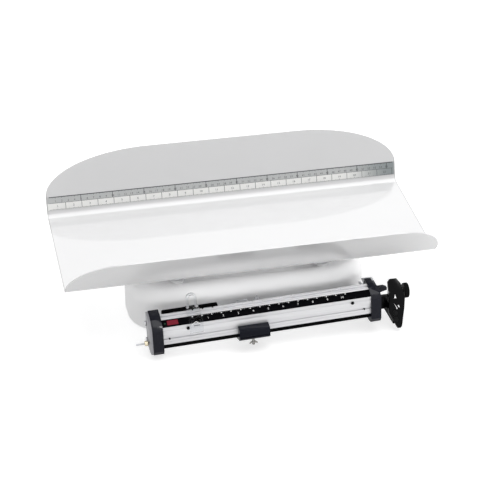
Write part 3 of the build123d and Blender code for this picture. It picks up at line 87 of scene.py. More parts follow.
def low(node):
    """Lowest corner of a construction node."""
    return np.array(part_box(node)[0])


def high(node):
    """Highest corner of a construction node."""
    return np.array(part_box(node)[1])


# Sizes and colours that a user would change


class ScaleSizes(bpy.types.PropertyGroup):
    """Sizes of the tray's folded sheet and of the print."""

    sheet: bpy.props.FloatProperty(
        name="Sheet", description="Thickness of the tray's sheet", default=1.6 * MM, unit="LENGTH")
    ruler_line_y: bpy.props.FloatProperty(
        name="Ruler line depth", description="Place of the ruler's upper edge towards the back",
        default=134.0 * MM, unit="LENGTH")
    ruler_line_z: bpy.props.FloatProperty(
        name="Ruler line height", description="Height of the ruler's upper edge",
        default=143.0 * MM, unit="LENGTH")
    back_lean: bpy.props.FloatProperty(
        name="Back lean", description="Lean of the back panel from upright",
        default=math.radians(16.0), subtype="ANGLE")
    back_rise: bpy.props.FloatProperty(
        name="Back rise", description="Back panel above the ruler line", default=66.0 * MM, unit="LENGTH")
    back_corner: bpy.props.FloatProperty(
        name="Back corner", description="Length of the back panel's round corners",
        default=165.0 * MM, unit="LENGTH")
    panel_foot: bpy.props.FloatProperty(
        name="Panel foot", description="Back panel below the ruler line, down to the fold",
        default=30.4 * MM, unit="LENGTH")
    back_fold: bpy.props.FloatProperty(
        name="Back fold", description="Radius of the fold under the back panel",
        default=14.0 * MM, unit="LENGTH")
    lip_y: bpy.props.FloatProperty(
        name="Lip depth", description="Place of the fold at the foot of the front wall",
        default=-70.4 * MM, unit="LENGTH")
    lip_z: bpy.props.FloatProperty(
        name="Lip height", description="Height of the fold at the foot of the front wall",
        default=91.2 * MM, unit="LENGTH")
    lip_fold: bpy.props.FloatProperty(
        name="Lip fold", description="Radius of the fold under the front wall",
        default=8.0 * MM, unit="LENGTH")
    front_lean: bpy.props.FloatProperty(
        name="Front lean", description="Lean of the front wall from upright",
        default=math.radians(40.0), subtype="ANGLE")
    front_height: bpy.props.FloatProperty(
        name="Front wall", description="Height of the front wall along its slope",
        default=88.0 * MM, unit="LENGTH")
    front_corner: bpy.props.FloatProperty(
        name="Front corner", description="Radius of the front wall's round corners",
        default=80.0 * MM, unit="LENGTH")
    print_height: bpy.props.FloatProperty(
        name="Ink", description="Thickness of printed figures and lines", default=0.06 * MM, unit="LENGTH")
    ruler_figure: bpy.props.FloatProperty(
        name="Ruler figures", description="Height of the figures on the ruler",
        default=3.2 * MM, unit="LENGTH")
    scale_figure: bpy.props.FloatProperty(
        name="Scale figures", description="Height of the figures on the beam's scale",
        default=3.4 * MM, unit="LENGTH")


class ScaleColours(bpy.types.PropertyGroup):
    """Colours of the main finishes."""

    tray: bpy.props.FloatVectorProperty(
        name="Tray", description="White stove enamel of the tray", default=(0.675, 0.675, 0.68),
        subtype="COLOR", min=0.0, max=1.0)
    base: bpy.props.FloatVectorProperty(
        name="Base", description="White plastic of the base housing", default=(0.94, 0.94, 0.943),
        subtype="COLOR", min=0.0, max=1.0)
    ink: bpy.props.FloatVectorProperty(
        name="Ruler ink", description="Dark ink of the ruler's print", default=(0.055, 0.06, 0.065),
        subtype="COLOR", min=0.0, max=1.0)
    black: bpy.props.FloatVectorProperty(
        name="Black", description="Black enamel of the beam's scale", default=(0.0035, 0.0035, 0.0045),
        subtype="COLOR", min=0.0, max=1.0)
    red: bpy.props.FloatVectorProperty(
        name="Red field", description="Red field at the start of the scale", default=(0.21, 0.004, 0.02),
        subtype="COLOR", min=0.0, max=1.0)


class StudioSettings(bpy.types.PropertyGroup):
    """Camera and light of the studio."""

    azimuth: bpy.props.FloatProperty(
        name="Azimuth", description="How far the camera stands to the left of the front",
        default=math.radians(13.08), subtype="ANGLE")
    elevation: bpy.props.FloatProperty(
        name="Elevation", description="How far the camera looks down",
        default=math.radians(29.0), subtype="ANGLE")
    lens: bpy.props.FloatProperty(
        name="Lens", description="Focal length in millimetres on a 36 mm sensor", default=115.74)
    distance: bpy.props.FloatProperty(
        name="Distance", description="From the camera to the point that it looks at",
        default=2.3, unit="LENGTH")
    target: bpy.props.FloatVectorProperty(
        name="Target", description="Point that the camera looks at",
        default=(-0.0173, -0.0520, 0.1346), subtype="TRANSLATION")
    overhead: bpy.props.FloatProperty(
        name="Overhead", description="Power of the large overhead softbox in watts", default=41.0)
    strip: bpy.props.FloatProperty(
        name="Strip", description="Power of the strip that picks out the black parts, in watts", default=26.0)
    crown: bpy.props.FloatProperty(
        name="Crown", description="Power of the high light on the beam's rails in watts", default=18.0)
    low_fill: bpy.props.FloatProperty(
        name="Low fill", description="Power of the low fill on the base in watts", default=32.0)
    floor_bounce: bpy.props.FloatProperty(
        name="Floor bounce", description="Share of the paper's own glow that lights the scale", default=0.55)
    surround: bpy.props.FloatProperty(
        name="Surround", description="Strength of the pale surround as a soft light", default=0.48)
    sweep: bpy.props.FloatProperty(
        name="Sweep", description="Strength of the pale sweep behind the scale, as the enamel mirrors it",
        default=1.65)
    room: bpy.props.FloatProperty(
        name="Room", description="Strength of the room before the scale, as the enamel mirrors it",
        default=1.3)


def sizes():
    """The size settings of the open scene."""
    return bpy.context.scene.scale_sizes


def colours():
    """The colour settings of the open scene."""
    return bpy.context.scene.scale_colours


def studio():
    """The studio settings of the open scene."""
    return bpy.context.scene.scale_studio


# Surfaces worked out as arrays


def on_beam(along, depth, rise, start=FULCRUM):
    """World points of beam places: along times the beam's direction, depth times Y, rise times the
    direction square to both, added to a start."""
    along, depth, rise = np.broadcast_arrays(along, depth, rise)
    return start + along[..., None] * ALONG + depth[..., None] * DEPTH + rise[..., None] * RISE


def grid_faces(rows, columns, wrap_columns=False):
    """Quads over a grid of points; wrapped columns join the last one to the first."""
    index = np.arange(rows * columns).reshape(rows, columns)
    if wrap_columns:
        index = np.concatenate([index, index[:, :1]], axis=1)
    corners = (index[:-1, :-1], index[:-1, 1:], index[1:, 1:], index[1:, :-1])
    return np.stack(corners, axis=-1).reshape(-1, 4)


def mesh_object(name, points, faces, smooth=True, closed=True):
    """An object at the origin from points and faces, with doubles merged and, on a closed form, its
    faces turned outwards."""
    merge_distance = 0.001 * MM
    mesh = bpy.data.meshes.new(name)
    mesh.from_pydata(points.reshape(-1, 3).tolist(), [], faces.tolist())
    shape = bmesh.new()
    shape.from_mesh(mesh)
    bmesh.ops.remove_doubles(shape, verts=shape.verts, dist=merge_distance)
    if closed:
        bmesh.ops.recalc_face_normals(shape, faces=shape.faces)
    shape.to_mesh(mesh)
    shape.free()
    mesh.polygons.foreach_set("use_smooth", np.full(len(mesh.polygons), smooth))
    made = bpy.data.objects.new(name, mesh)
    bpy.context.scene.collection.objects.link(made)
    return made


def surface_object(name, points, wrap_columns=False, closed=True):
    """A smooth object from a grid of points, rows by columns."""
    faces = grid_faces(points.shape[0], points.shape[1], wrap_columns)
    return mesh_object(name, points, faces, closed=closed)


def arc_fold(before, corner, after, radius, count):
    """Points of the round fold at a corner: an arc of the radius that touches both straights."""
    inward = (before - corner) / np.linalg.norm(before - corner)
    outward = (after - corner) / np.linalg.norm(after - corner)
    half_angle = math.acos(float(inward @ outward)) / 2
    middle = (inward + outward) / np.linalg.norm(inward + outward)
    centre = corner + middle * radius / math.sin(half_angle)
    turn = np.linspace(-1.0, 1.0, count)[:, None] * (math.pi / 2 - half_angle)
    side = (outward - inward) / np.linalg.norm(outward - inward)
    return centre + radius * (np.sin(turn) * side - np.cos(turn) * middle)


def turned(profile, start, axis, side, count, wave):
    """Points of a turned form: each row (station, radius) of the profile is a circle of its radius round
    the axis at its station, and wave, rows by angles, changes the radius round the circle."""
    profile, axis, side = np.array(profile, float), np.array(axis, float), np.array(side, float)
    station = profile[:, :1]
    angle = np.linspace(0.0, 2.0 * math.pi, count, endpoint=False)[None, :]
    radius = profile[:, 1:] + wave(station, angle)
    ring = np.cos(angle)[..., None] * side + np.sin(angle)[..., None] * np.cross(axis, side)
    centre = np.array(start, float) + station[..., None] * axis
    return centre + radius[..., None] * ring


# Shared node effects

VECTOR, NUMBER, COLOUR = "NodeSocketVector", "NodeSocketFloat", "NodeSocketColor"

# Sockets of a Mix node that is set to colours
FACTOR, FIRST, SECOND, MIXED = 0, 6, 7, 2


def add_node(tree, kind, inputs=None, **settings):
    """One node with its settings, and fixed values on the inputs that are named or numbered."""
    made = tree.nodes.new(kind)
    for name, value in settings.items():
        setattr(made, name, value)
    for name, value in (inputs or {}).items():
        made.inputs[name].default_value = value
    return made


def new_effect(name, inputs, outputs):
    """An empty shader group with its sockets, given by name and kind, and its two end nodes."""
    group = bpy.data.node_groups.new(name, "ShaderNodeTree")
    for label, kind in inputs.items():
        group.interface.new_socket(name=label, in_out="INPUT", socket_type=kind)
    for label, kind in outputs.items():
        group.interface.new_socket(name=label, in_out="OUTPUT", socket_type=kind)
    return group, group.nodes.new("NodeGroupInput"), group.nodes.new("NodeGroupOutput")


def blend_tones(group, given, result, noise, darkest, lightest):
    """Blends the group's Deep and Pale by a noise, from the darkest to the lightest of its values that
    count; gives the blend's share of Pale."""
    link = group.links.new
    share = add_node(group, "ShaderNodeMapRange", {"From Min": darkest, "From Max": lightest})
    mix = add_node(group, "ShaderNodeMix", data_type="RGBA")
    link(noise.outputs["Fac"], share.inputs["Value"])
    link(share.outputs["Result"], mix.inputs[FACTOR])
    link(given.outputs["Deep"], mix.inputs[FIRST])
    link(given.outputs["Pale"], mix.inputs[SECOND])
    link(mix.outputs[MIXED], result.inputs["Colour"])
    return share.outputs["Result"]


def effect_mottle():
    """Soft cloudy change between two tones, for paint and moulded plastic."""
    group, given, result = new_effect(
        "soft_mottle", {"Place": VECTOR, "Scale": NUMBER, "Deep": COLOUR, "Pale": COLOUR}, {"Colour": COLOUR})
    noise = add_node(group, "ShaderNodeTexNoise", {"Detail": 3.0, "Roughness": 0.55})
    group.links.new(given.outputs["Place"], noise.inputs["Vector"])
    group.links.new(given.outputs["Scale"], noise.inputs["Scale"])
    blend_tones(group, given, result, noise, 0.3, 0.7)
    return group


def effect_handling():
    """Roughness between a polished and a handled value, from broad patches and fine specks."""
    group, given, result = new_effect(
        "handling_marks", {"Place": VECTOR, "Polished": NUMBER, "Handled": NUMBER}, {"Roughness": NUMBER})
    link = group.links.new
    speck_share = 0.35
    broad = add_node(group, "ShaderNodeTexNoise", {"Scale": 14.0, "Detail": 2.0})
    specks = add_node(group, "ShaderNodeTexNoise", {"Scale": 420.0, "Detail": 1.0})
    both = add_node(group, "ShaderNodeMath", {1: speck_share}, operation="MULTIPLY_ADD")
    roughness = add_node(group, "ShaderNodeMapRange", {"From Min": 0.45, "From Max": 0.95})
    link(given.outputs["Place"], broad.inputs["Vector"])
    link(given.outputs["Place"], specks.inputs["Vector"])
    link(specks.outputs["Fac"], both.inputs[0])
    link(broad.outputs["Fac"], both.inputs[2])
    link(both.outputs[0], roughness.inputs["Value"])
    link(given.outputs["Polished"], roughness.inputs["To Min"])
    link(given.outputs["Handled"], roughness.inputs["To Max"])
    link(roughness.outputs["Result"], result.inputs["Roughness"])
    return group


def effect_peel():
    """Height of the fine waves in sprayed paint or moulded plastic."""
    group, given, result = new_effect("orange_peel", {"Place": VECTOR, "Scale": NUMBER}, {"Height": NUMBER})
    link = group.links.new
    cells = add_node(group, "ShaderNodeTexVoronoi", feature="SMOOTH_F1")
    noise = add_node(group, "ShaderNodeTexNoise", {"Detail": 2.0})
    both = add_node(group, "ShaderNodeMath", operation="MULTIPLY")
    for texture in (cells, noise):
        link(given.outputs["Place"], texture.inputs["Vector"])
        link(given.outputs["Scale"], texture.inputs["Scale"])
    link(cells.outputs["Distance"], both.inputs[0])
    link(noise.outputs["Fac"], both.inputs[1])
    link(both.outputs[0], result.inputs["Height"])
    return group


def effect_drawn():
    """Long fine streaks of drawn or brushed metal: noise stretched along one direction."""
    group, given, result = new_effect(
        "drawn_streaks", {"Place": VECTOR, "Stretch": VECTOR, "Deep": COLOUR, "Pale": COLOUR},
        {"Colour": COLOUR, "Mask": NUMBER})
    link = group.links.new
    squeeze = add_node(group, "ShaderNodeVectorMath", operation="MULTIPLY")
    noise = add_node(group, "ShaderNodeTexNoise", {"Scale": 1.0, "Detail": 4.0, "Roughness": 0.6})
    link(given.outputs["Place"], squeeze.inputs[0])
    link(given.outputs["Stretch"], squeeze.inputs[1])
    link(squeeze.outputs[0], noise.inputs["Vector"])
    mask = blend_tones(group, given, result, noise, 0.32, 0.68)
    link(mask, result.inputs["Mask"])
    return group


EFFECT_MAKERS = {
    "soft_mottle": effect_mottle,
    "handling_marks": effect_handling,
    "orange_peel": effect_peel,
    "drawn_streaks": effect_drawn,
}


def place_effect(tree, name, place, inputs):
    """A shared effect in a material, on its coordinates; built the first time that it is asked for."""
    group = bpy.data.node_groups.get(name) or EFFECT_MAKERS[name]()
    made = add_node(tree, "ShaderNodeGroup", inputs, node_tree=group)
    tree.links.new(place, made.inputs["Place"])
    return made


# Materials

# Height of each of the ruler's two rows
RULER_ROW = 10.2 * MM

# Depths of the bumps, and the scale of the clouds in paint
PEEL_DEPTH = 0.1 * MM
STREAK_DEPTH = 0.05 * MM
CLOUDS_IN_A_METRE = 9.0


def new_finish(name, metallic=0.0, **shader_values):
    """A material with its shader, its Object coordinates and fixed values on the shader's sockets."""
    made = bpy.data.materials.new(name)
    made.use_nodes = True
    shader = made.node_tree.nodes["Principled BSDF"]
    shader.inputs["Metallic"].default_value = metallic
    for label, value in shader_values.items():
        shader.inputs[label.replace("_", " ")].default_value = value
    place = add_node(made.node_tree, "ShaderNodeTexCoord").outputs["Object"]
    return made, made.node_tree, shader, place


def two_tones(colour, spread):
    """A darker and a lighter tone of a colour, by a share of it, for an effect's Deep and Pale."""
    darker = (*(part * (1.0 - spread) for part in colour), 1.0)
    lighter = (*(min(1.0, part * (1.0 + spread)) for part in colour), 1.0)
    return {"Deep": darker, "Pale": lighter}


def add_handling(tree, shader, place, rough):
    """Feeds Roughness from the handling marks, between the polished and the handled value."""
    marks = place_effect(tree, "handling_marks", place, {"Polished": rough[0], "Handled": rough[1]})
    tree.links.new(marks.outputs["Roughness"], shader.inputs["Roughness"])


def add_mottle(tree, shader, place, colour, spread, scale):
    """Feeds Base Color with a cloudy change round a colour."""
    mottle = place_effect(tree, "soft_mottle", place, {"Scale": scale, **two_tones(colour, spread)})
    tree.links.new(mottle.outputs["Colour"], shader.inputs["Base Color"])


def add_bump(tree, shader, height, strength, distance):
    """Feeds Normal from a height."""
    bump = add_node(tree, "ShaderNodeBump", {"Strength": strength, "Distance": distance})
    tree.links.new(height, bump.inputs["Height"])
    tree.links.new(bump.outputs["Normal"], shader.inputs["Normal"])


def add_peel(tree, shader, place, peel):
    """Feeds Normal from the orange peel, given by its waves in a metre and its strength."""
    waves = place_effect(tree, "orange_peel", place, {"Scale": peel[0]})
    add_bump(tree, shader, waves.outputs["Height"], peel[1], PEEL_DEPTH)


def painted(name, colour, rough, peel, clouds, **shader_values):
    """Sprayed or moulded finish: handling marks between two roughnesses, orange peel of a scale and a
    strength, and a cloudy tone by a share of the colour."""
    made, tree, shader, place = new_finish(name, **shader_values)
    add_mottle(tree, shader, place, colour, clouds, CLOUDS_IN_A_METRE)
    add_handling(tree, shader, place, rough)
    add_peel(tree, shader, place, peel)
    return made


def drawn_metal(name, colour, rough, stretch, streaks, bump=0.08, metallic=1.0):
    """Drawn, ground or brushed metal: streaks in tone and height, close together along the directions
    of a high stretch, and handling marks between two roughnesses."""
    made, tree, shader, place = new_finish(name, metallic=metallic)
    drawn = place_effect(tree, "drawn_streaks", place, {"Stretch": stretch, **two_tones(colour, streaks)})
    tree.links.new(drawn.outputs["Colour"], shader.inputs["Base Color"])
    add_handling(tree, shader, place, rough)
    add_bump(tree, shader, drawn.outputs["Mask"], bump, STREAK_DEPTH)
    return made


def finish_tray_paint():
    """White stove enamel, glossy over a fine peel, with painted shade greying the colour near the sheet's cut
    ends.
    """
    made = painted("tray_paint", colours().tray, rough=(0.05, 0.08), peel=(700.0, 0.005), clouds=0.008,
                   Coat_Weight=1.0, Coat_Roughness=0.02, Coat_IOR=1.6)
    tree = made.node_tree
    link = tree.links.new
    # Painted shade: within the last 1.8 mm before the sheet's cut ends at both sides the colour darkens to 0.7 of
    # itself, standing in for the shade along the rim's edge.
    sheet_end, rim_shade_begins, rim_shade_full, rim_shade_tone = float(cad_box[1][0]), 1.8 * MM, 1.1 * MM, 0.7
    place = add_node(tree, "ShaderNodeTexCoord")
    outward = add_node(tree, "ShaderNodeVectorMath", operation="ABSOLUTE")
    parts = add_node(tree, "ShaderNodeSeparateXYZ")
    share = add_node(tree, "ShaderNodeMapRange", {
        "From Min": sheet_end - rim_shade_begins, "From Max": sheet_end - rim_shade_full,
        "To Min": 1.0, "To Max": rim_shade_tone})
    tone = add_node(tree, "ShaderNodeVectorMath", operation="SCALE")
    colour = tree.nodes["Principled BSDF"].inputs["Base Color"]
    link(place.outputs["Object"], outward.inputs[0])
    link(outward.outputs["Vector"], parts.inputs["Vector"])
    link(parts.outputs["X"], share.inputs["Value"])
    link(colour.links[0].from_socket, tone.inputs[0])
    link(share.outputs["Result"], tone.inputs["Scale"])
    link(tone.outputs["Vector"], colour)
    return made


def finish_base_white():
    """White moulded plastic with a soft sheen."""
    return painted("base_white", colours().base, rough=(0.42, 0.52), peel=(500.0, 0.02), clouds=0.008,
                   Coat_Weight=0.4, Coat_Roughness=0.35)


def finish_ruler_foil():
    """Ruler strip: pale grey band above, whiter band below, bluer towards the right end."""
    made, tree, shader, place = new_finish("ruler_foil", Coat_Weight=0.3, Coat_Roughness=0.1)
    link = tree.links.new
    grey, blue = (0.52, 0.53, 0.53, 1.0), (0.25, 0.28, 0.285, 1.0)
    white = {"Deep": (0.88, 0.88, 0.86, 1.0), "Pale": (0.93, 0.93, 0.91, 1.0)}
    parts = add_node(tree, "ShaderNodeSeparateXYZ")
    link(place, parts.inputs[0])
    boundary, blur = sizes().ruler_line_z - RULER_ROW * math.cos(sizes().back_lean), 0.2 * MM
    upper = add_node(tree, "ShaderNodeMapRange", {"From Min": boundary - blur, "From Max": boundary + blur})
    link(parts.outputs["Z"], upper.inputs["Value"])
    blue_begins, blue_whole = 190.0 * MM, 275.0 * MM
    right = add_node(tree, "ShaderNodeMapRange", {"From Min": blue_begins, "From Max": blue_whole},
                     interpolation_type="SMOOTHSTEP")
    link(parts.outputs["X"], right.inputs["Value"])
    lower = place_effect(tree, "soft_mottle", place, {"Scale": 30.0, **white})
    band = add_node(tree, "ShaderNodeMix", {SECOND: grey}, data_type="RGBA")
    link(upper.outputs["Result"], band.inputs[FACTOR])
    link(lower.outputs["Colour"], band.inputs[FIRST])
    end = add_node(tree, "ShaderNodeMix", {SECOND: blue}, data_type="RGBA")
    link(right.outputs["Result"], end.inputs[FACTOR])
    link(band.outputs[MIXED], end.inputs[FIRST])
    link(end.outputs[MIXED], shader.inputs["Base Color"])
    add_handling(tree, shader, place, (0.28, 0.40))
    return made


def finish_ruler_ink():
    """Dark ink of the ruler's lines and figures."""
    return painted("ruler_ink", colours().ink, rough=(0.45, 0.6), peel=(1500.0, 0.02), clouds=0.08)


def finish_scale_ink():
    """White ink of the beam's scale."""
    return painted("scale_ink", (0.95, 0.95, 0.95), rough=(0.45, 0.6), peel=(1500.0, 0.02), clouds=0.04)


def finish_scale_red():
    """Red field at the start of the scale."""
    return painted("scale_red", colours().red, rough=(0.3, 0.45), peel=(1200.0, 0.02), clouds=0.08,
                   Specular_IOR_Level=0.15)


def finish_scale_green():
    """Green spot beside the red field."""
    return painted("scale_green", (0.012, 0.05, 0.022), rough=(0.3, 0.45), peel=(1200.0, 0.02), clouds=0.08,
                   Specular_IOR_Level=0.15)


def finish_rubber():
    """Black moulded rubber."""
    return painted("rubber", (0.03, 0.03, 0.032), rough=(0.6, 0.8), peel=(1400.0, 0.25), clouds=0.15)


def finish_zinc_steel():
    """Zinc plated pressed steel."""
    return drawn_metal("zinc_steel", (0.62, 0.63, 0.65), rough=(0.28, 0.42), stretch=(60.0, 60.0, 900.0),
                       streaks=0.10)


def finish_knife_steel():
    """Ground hardened steel of the knife edges."""
    return drawn_metal("knife_steel", (0.42, 0.42, 0.44), rough=(0.18, 0.3), stretch=(40.0, 1500.0, 1500.0),
                       streaks=0.12)


def finish_screws():
    """Plated steel of screws and nuts."""
    return drawn_metal("screw_steel", (0.56, 0.56, 0.58), rough=(0.22, 0.35), stretch=(700.0, 700.0, 90.0),
                       streaks=0.10)


def finish_dark_screws():
    """Blackened steel of the small dark screws and pins."""
    return painted("dark_screws", (0.003, 0.003, 0.0035), rough=(0.25, 0.4), peel=(1500.0, 0.06), clouds=0.10,
                   Specular_IOR_Level=0.12)


def finish_beam_alloy():
    """Satin anodised aluminium, with streaks along the beam."""
    return drawn_metal("beam_alloy", (0.72, 0.72, 0.735), rough=(0.36, 0.46), stretch=(8.0, 500.0, 500.0),
                       streaks=0.06, bump=0.008, metallic=0.55)


def finish_scale_black():
    """Black enamel of the scale plate."""
    return painted("scale_black", colours().black, rough=(0.3, 0.4), peel=(1200.0, 0.01), clouds=0.12,
                   Specular_IOR_Level=0.004)


def finish_strip_black():
    """Black strip along the foot of the beam."""
    return painted("strip_black", (0.001, 0.001, 0.0012), rough=(0.42, 0.55), peel=(1500.0, 0.02),
                   clouds=0.12, Specular_IOR_Level=0.008)


def finish_cap_black():
    """Black moulded plastic of the end caps."""
    return painted("cap_black", (0.003, 0.0034, 0.008), rough=(0.1, 0.15), peel=(1100.0, 0.008), clouds=0.12,
                   Specular_IOR_Level=0.22)


def finish_side_grey():
    """Grey plate on the left cap's side."""
    return painted("side_grey", (0.34, 0.34, 0.36), rough=(0.3, 0.42), peel=(1100.0, 0.03), clouds=0.05)


def finish_poise_black():
    """Black enamel of the poises, a little blue."""
    return painted("poise_black", (0.002, 0.0026, 0.007), rough=(0.12, 0.18), peel=(900.0, 0.005),
                   clouds=0.12, Specular_IOR_Level=0.13)


def finish_clear():
    """Clear moulded acrylic with faint flow marks."""
    made, tree, shader, place = new_finish(
        "clear_acrylic", Transmission_Weight=1.0, IOR=1.16, Base_Color=(0.93, 0.94, 0.95, 1.0))
    add_handling(tree, shader, place, (0.0, 0.03))
    add_peel(tree, shader, place, (160.0, 0.01))
    return made


def finish_index_black():
    """Black enamelled steel of the index arm and bracket."""
    return painted("index_black", (0.0015, 0.0015, 0.002), rough=(0.14, 0.2), peel=(900.0, 0.01), clouds=0.12,
                   Specular_IOR_Level=0.08)


def finish_nickel():
    """Bright nickel plate."""
    return drawn_metal("nickel", (0.34, 0.335, 0.32), rough=(0.1, 0.18), stretch=(500.0, 500.0, 80.0),
                       streaks=0.04)


def finish_brass():
    """Pale turned brass."""
    return drawn_metal("brass", (0.80, 0.72, 0.54), rough=(0.2, 0.3), stretch=(900.0, 120.0, 120.0),
                       streaks=0.08)


def finish_knob_black():
    """Black plastic of the knurled lock knob."""
    return painted("knob_black", (0.002, 0.002, 0.0024), rough=(0.25, 0.38), peel=(1200.0, 0.02), clouds=0.12,
                   Specular_IOR_Level=0.06)


def finish_shaft_steel():
    """Bright turned steel of the lock shaft."""
    return drawn_metal("shaft_steel", (0.60, 0.60, 0.61), rough=(0.12, 0.22), stretch=(1400.0, 90.0, 90.0),
                       streaks=0.07)


FINISH_MAKERS = {
    "tray_paint": finish_tray_paint, "base_white": finish_base_white,
    "ruler_foil": finish_ruler_foil, "ruler_ink": finish_ruler_ink,
    "scale_black": finish_scale_black, "scale_ink": finish_scale_ink,
    "scale_red": finish_scale_red, "scale_green": finish_scale_green,
    "beam_alloy": finish_beam_alloy, "strip_black": finish_strip_black,
    "cap_black": finish_cap_black, "side_grey": finish_side_grey,
    "poise_black": finish_poise_black, "clear": finish_clear,
    "index_black": finish_index_black, "knob_black": finish_knob_black,
    "shaft_steel": finish_shaft_steel, "zinc_steel": finish_zinc_steel,
    "knife_steel": finish_knife_steel, "screws": finish_screws,
    "dark_screws": finish_dark_screws, "nickel": finish_nickel,
    "brass": finish_brass, "rubber": finish_rubber,
}
finishes = {}


def finish(name):
    """A material by its name, made the first time that it is asked for."""
    if name not in finishes:
        finishes[name] = FINISH_MAKERS[name]()
    return finishes[name]


def wear(made, body, slot, finish_name=None):
    """Gives a new piece its material, its slot and the body that it rides on."""
    made.data.materials.append(finish(finish_name or slot))
    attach(made, body)
    return made


def round_edges(made, width, segments, least_turn):
    """Rounds the edges of a piece where its faces turn by more than an angle in degrees."""
    edge = made.modifiers.new("edge", "BEVEL")
    edge.width = width
    edge.segments = segments
    edge.limit_method = "ANGLE"
    edge.angle_limit = math.radians(least_turn)
    edge.harden_normals = True


def soften(made, width, segments):
    """Merges loose corners, joins flat triangles and rounds the hard edges of a construction node."""
    merge_distance, flat_within, hard_from = 0.002 * MM, 0.3, 32.0
    made.data.polygons.foreach_set("use_smooth", np.ones(len(made.data.polygons), bool))
    weld = made.modifiers.new("weld", "WELD")
    weld.merge_threshold = merge_distance
    flat = made.modifiers.new("flat", "DECIMATE")
    flat.decimate_type = "DISSOLVE"
    flat.angle_limit = math.radians(flat_within)
    round_edges(made, width, segments, hard_from)


def dress(node, width=0.0, segments=2, finish_name=None):
    """Gives a construction node the material of its slot, or another finish, and rounds its hard edges
    where a width is given."""
    made = frame["nodes"][node]
    material = finish(finish_name or SLOTS[node])
    if not made.data.materials:
        made.data.materials.append(material)
    for place in made.material_slots:
        place.material = material
    if width:
        soften(made, width, segments)


def dress_all(nodes, width, segments=2):
    """Dresses several construction nodes alike."""
    for node in nodes:
        dress(node, width, segments)


class PieceOperator:
    """What the operators here share."""

    bl_options = {"REGISTER", "UNDO"}


# Tray


def tray_rows():
    """Rows of the folded sheet from the front wall's top to the back panel's top, as (y, z, half width).

    The straights and folds follow the profile. On the front wall and the back panel the half width
    follows a quarter ellipse, and rows are set by the ellipse's angle so that the outline stays smooth."""
    s = sizes()
    front_count, lip_count, trough_count, bend_count, back_count = 28, 9, 12, 13, 40
    half = float(cad_box[1][0] - cad_box[0][0]) / 2
    lean, front = s.back_lean, s.front_lean
    line = np.array([s.ruler_line_y, s.ruler_line_z])
    panel = np.array([math.sin(lean), math.cos(lean)])
    wall = np.array([-math.sin(front), math.cos(front)])
    bend, lip = line - panel * s.panel_foot, np.array([s.lip_y, s.lip_z])
    wall_top, panel_top = lip + wall * s.front_height, line + panel * s.back_rise

    quarter = np.linspace(math.pi / 2, 0.0, front_count)
    wall_foot = lip + wall * (s.front_height - s.front_corner)
    front_rows = wall_foot + wall * s.front_corner * np.sin(quarter)[:, None]
    front_half = half - s.front_corner + s.front_corner * np.cos(quarter)
    lip_rows = arc_fold(wall_top, lip, bend, s.lip_fold, lip_count)
    bend_rows = arc_fold(lip, bend, panel_top, s.back_fold, bend_count)
    share = np.linspace(0.0, 1.0, trough_count + 2)[1:-1, None]
    trough_rows = lip_rows[-1] + (bend_rows[0] - lip_rows[-1]) * share
    quarter = np.linspace(0.0, math.pi / 2, back_count)
    back_rows = line + panel * s.back_rise * np.sin(quarter)[:, None]
    back_half = half - s.back_corner + s.back_corner * np.cos(quarter)

    middle = np.concatenate([lip_rows, trough_rows, bend_rows])
    profile = np.concatenate([front_rows, middle, back_rows])
    widths = np.concatenate([front_half, np.full(len(middle), half), back_half])
    return profile, widths


class SCALE_OT_tray(PieceOperator, bpy.types.Operator):
    """Tray folded from one enamelled sheet"""

    bl_idname = "babyscale.tray"
    bl_label = "Tray"

    def execute(self, context):
        columns, rim_radius, rim_segments, rim_angle = 61, 0.45 * MM, 3, 60.0
        profile, widths = tray_rows()
        across = np.linspace(-1.0, 1.0, columns)
        points = np.empty((len(profile), columns, 3))
        points[..., 0] = widths[:, None] * across
        points[..., 1:] = profile[:, None, :]
        tray = surface_object("tray_sheet", points, closed=False)
        wall = tray.modifiers.new("sheet", "SOLIDIFY")
        wall.thickness = sizes().sheet
        wall.offset = -1.0
        round_edges(tray, rim_radius, rim_segments, rim_angle)
        wear(tray, "platform", "tray_paint")
        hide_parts("tray")
        return {"FINISHED"}


# Print

# A figure's height over its font's size, and its width with the space after it over its height
FIGURE_TO_FONT_SIZE = 0.72
FIGURE_ADVANCE = 0.78


def glyph(character, height):
    """Flat figure of the built-in lettering as points and triangles, with its foot at zero."""
    curve = bpy.data.curves.new("glyph", "FONT")
    curve.body = character
    curve.size = height / FIGURE_TO_FONT_SIZE
    curve.extrude = sizes().print_height / 2
    curve.resolution_u = 3
    holder = bpy.data.objects.new("glyph", curve)
    bpy.context.scene.collection.objects.link(holder)
    mesh = bpy.data.meshes.new_from_object(holder)
    points = np.empty(len(mesh.vertices) * 3)
    mesh.vertices.foreach_get("co", points)
    mesh.calc_loop_triangles()
    triangles = np.empty(len(mesh.loop_triangles) * 3, int)
    mesh.loop_triangles.foreach_get("vertices", triangles)
    bpy.data.objects.remove(holder)
    bpy.data.meshes.remove(mesh)
    bpy.data.curves.remove(curve)
    return points.reshape(-1, 3), triangles.reshape(-1, 3)


def figures(numbers, places, foot, height):
    """Points and triangles of numbers in a row, each centred on its place along a flat drawing."""
    labels = [str(number) for number in numbers]
    glyphs = {digit: glyph(digit, height) for digit in sorted(set("".join(labels)))}
    advance = FIGURE_ADVANCE * height
    points, triangles, count = [], [], 0
    for label, place in zip(labels, places):
        left = place - advance * (len(label) - 1) / 2
        for order, digit in enumerate(label):
            shape, faces = glyphs[digit]
            middle = (shape[:, 0].max() + shape[:, 0].min()) / 2
            points.append(shape + (left + order * advance - middle, foot, 0.0))
            triangles.append(faces + count)
            count += len(shape)
    return np.concatenate(points), np.concatenate(triangles)


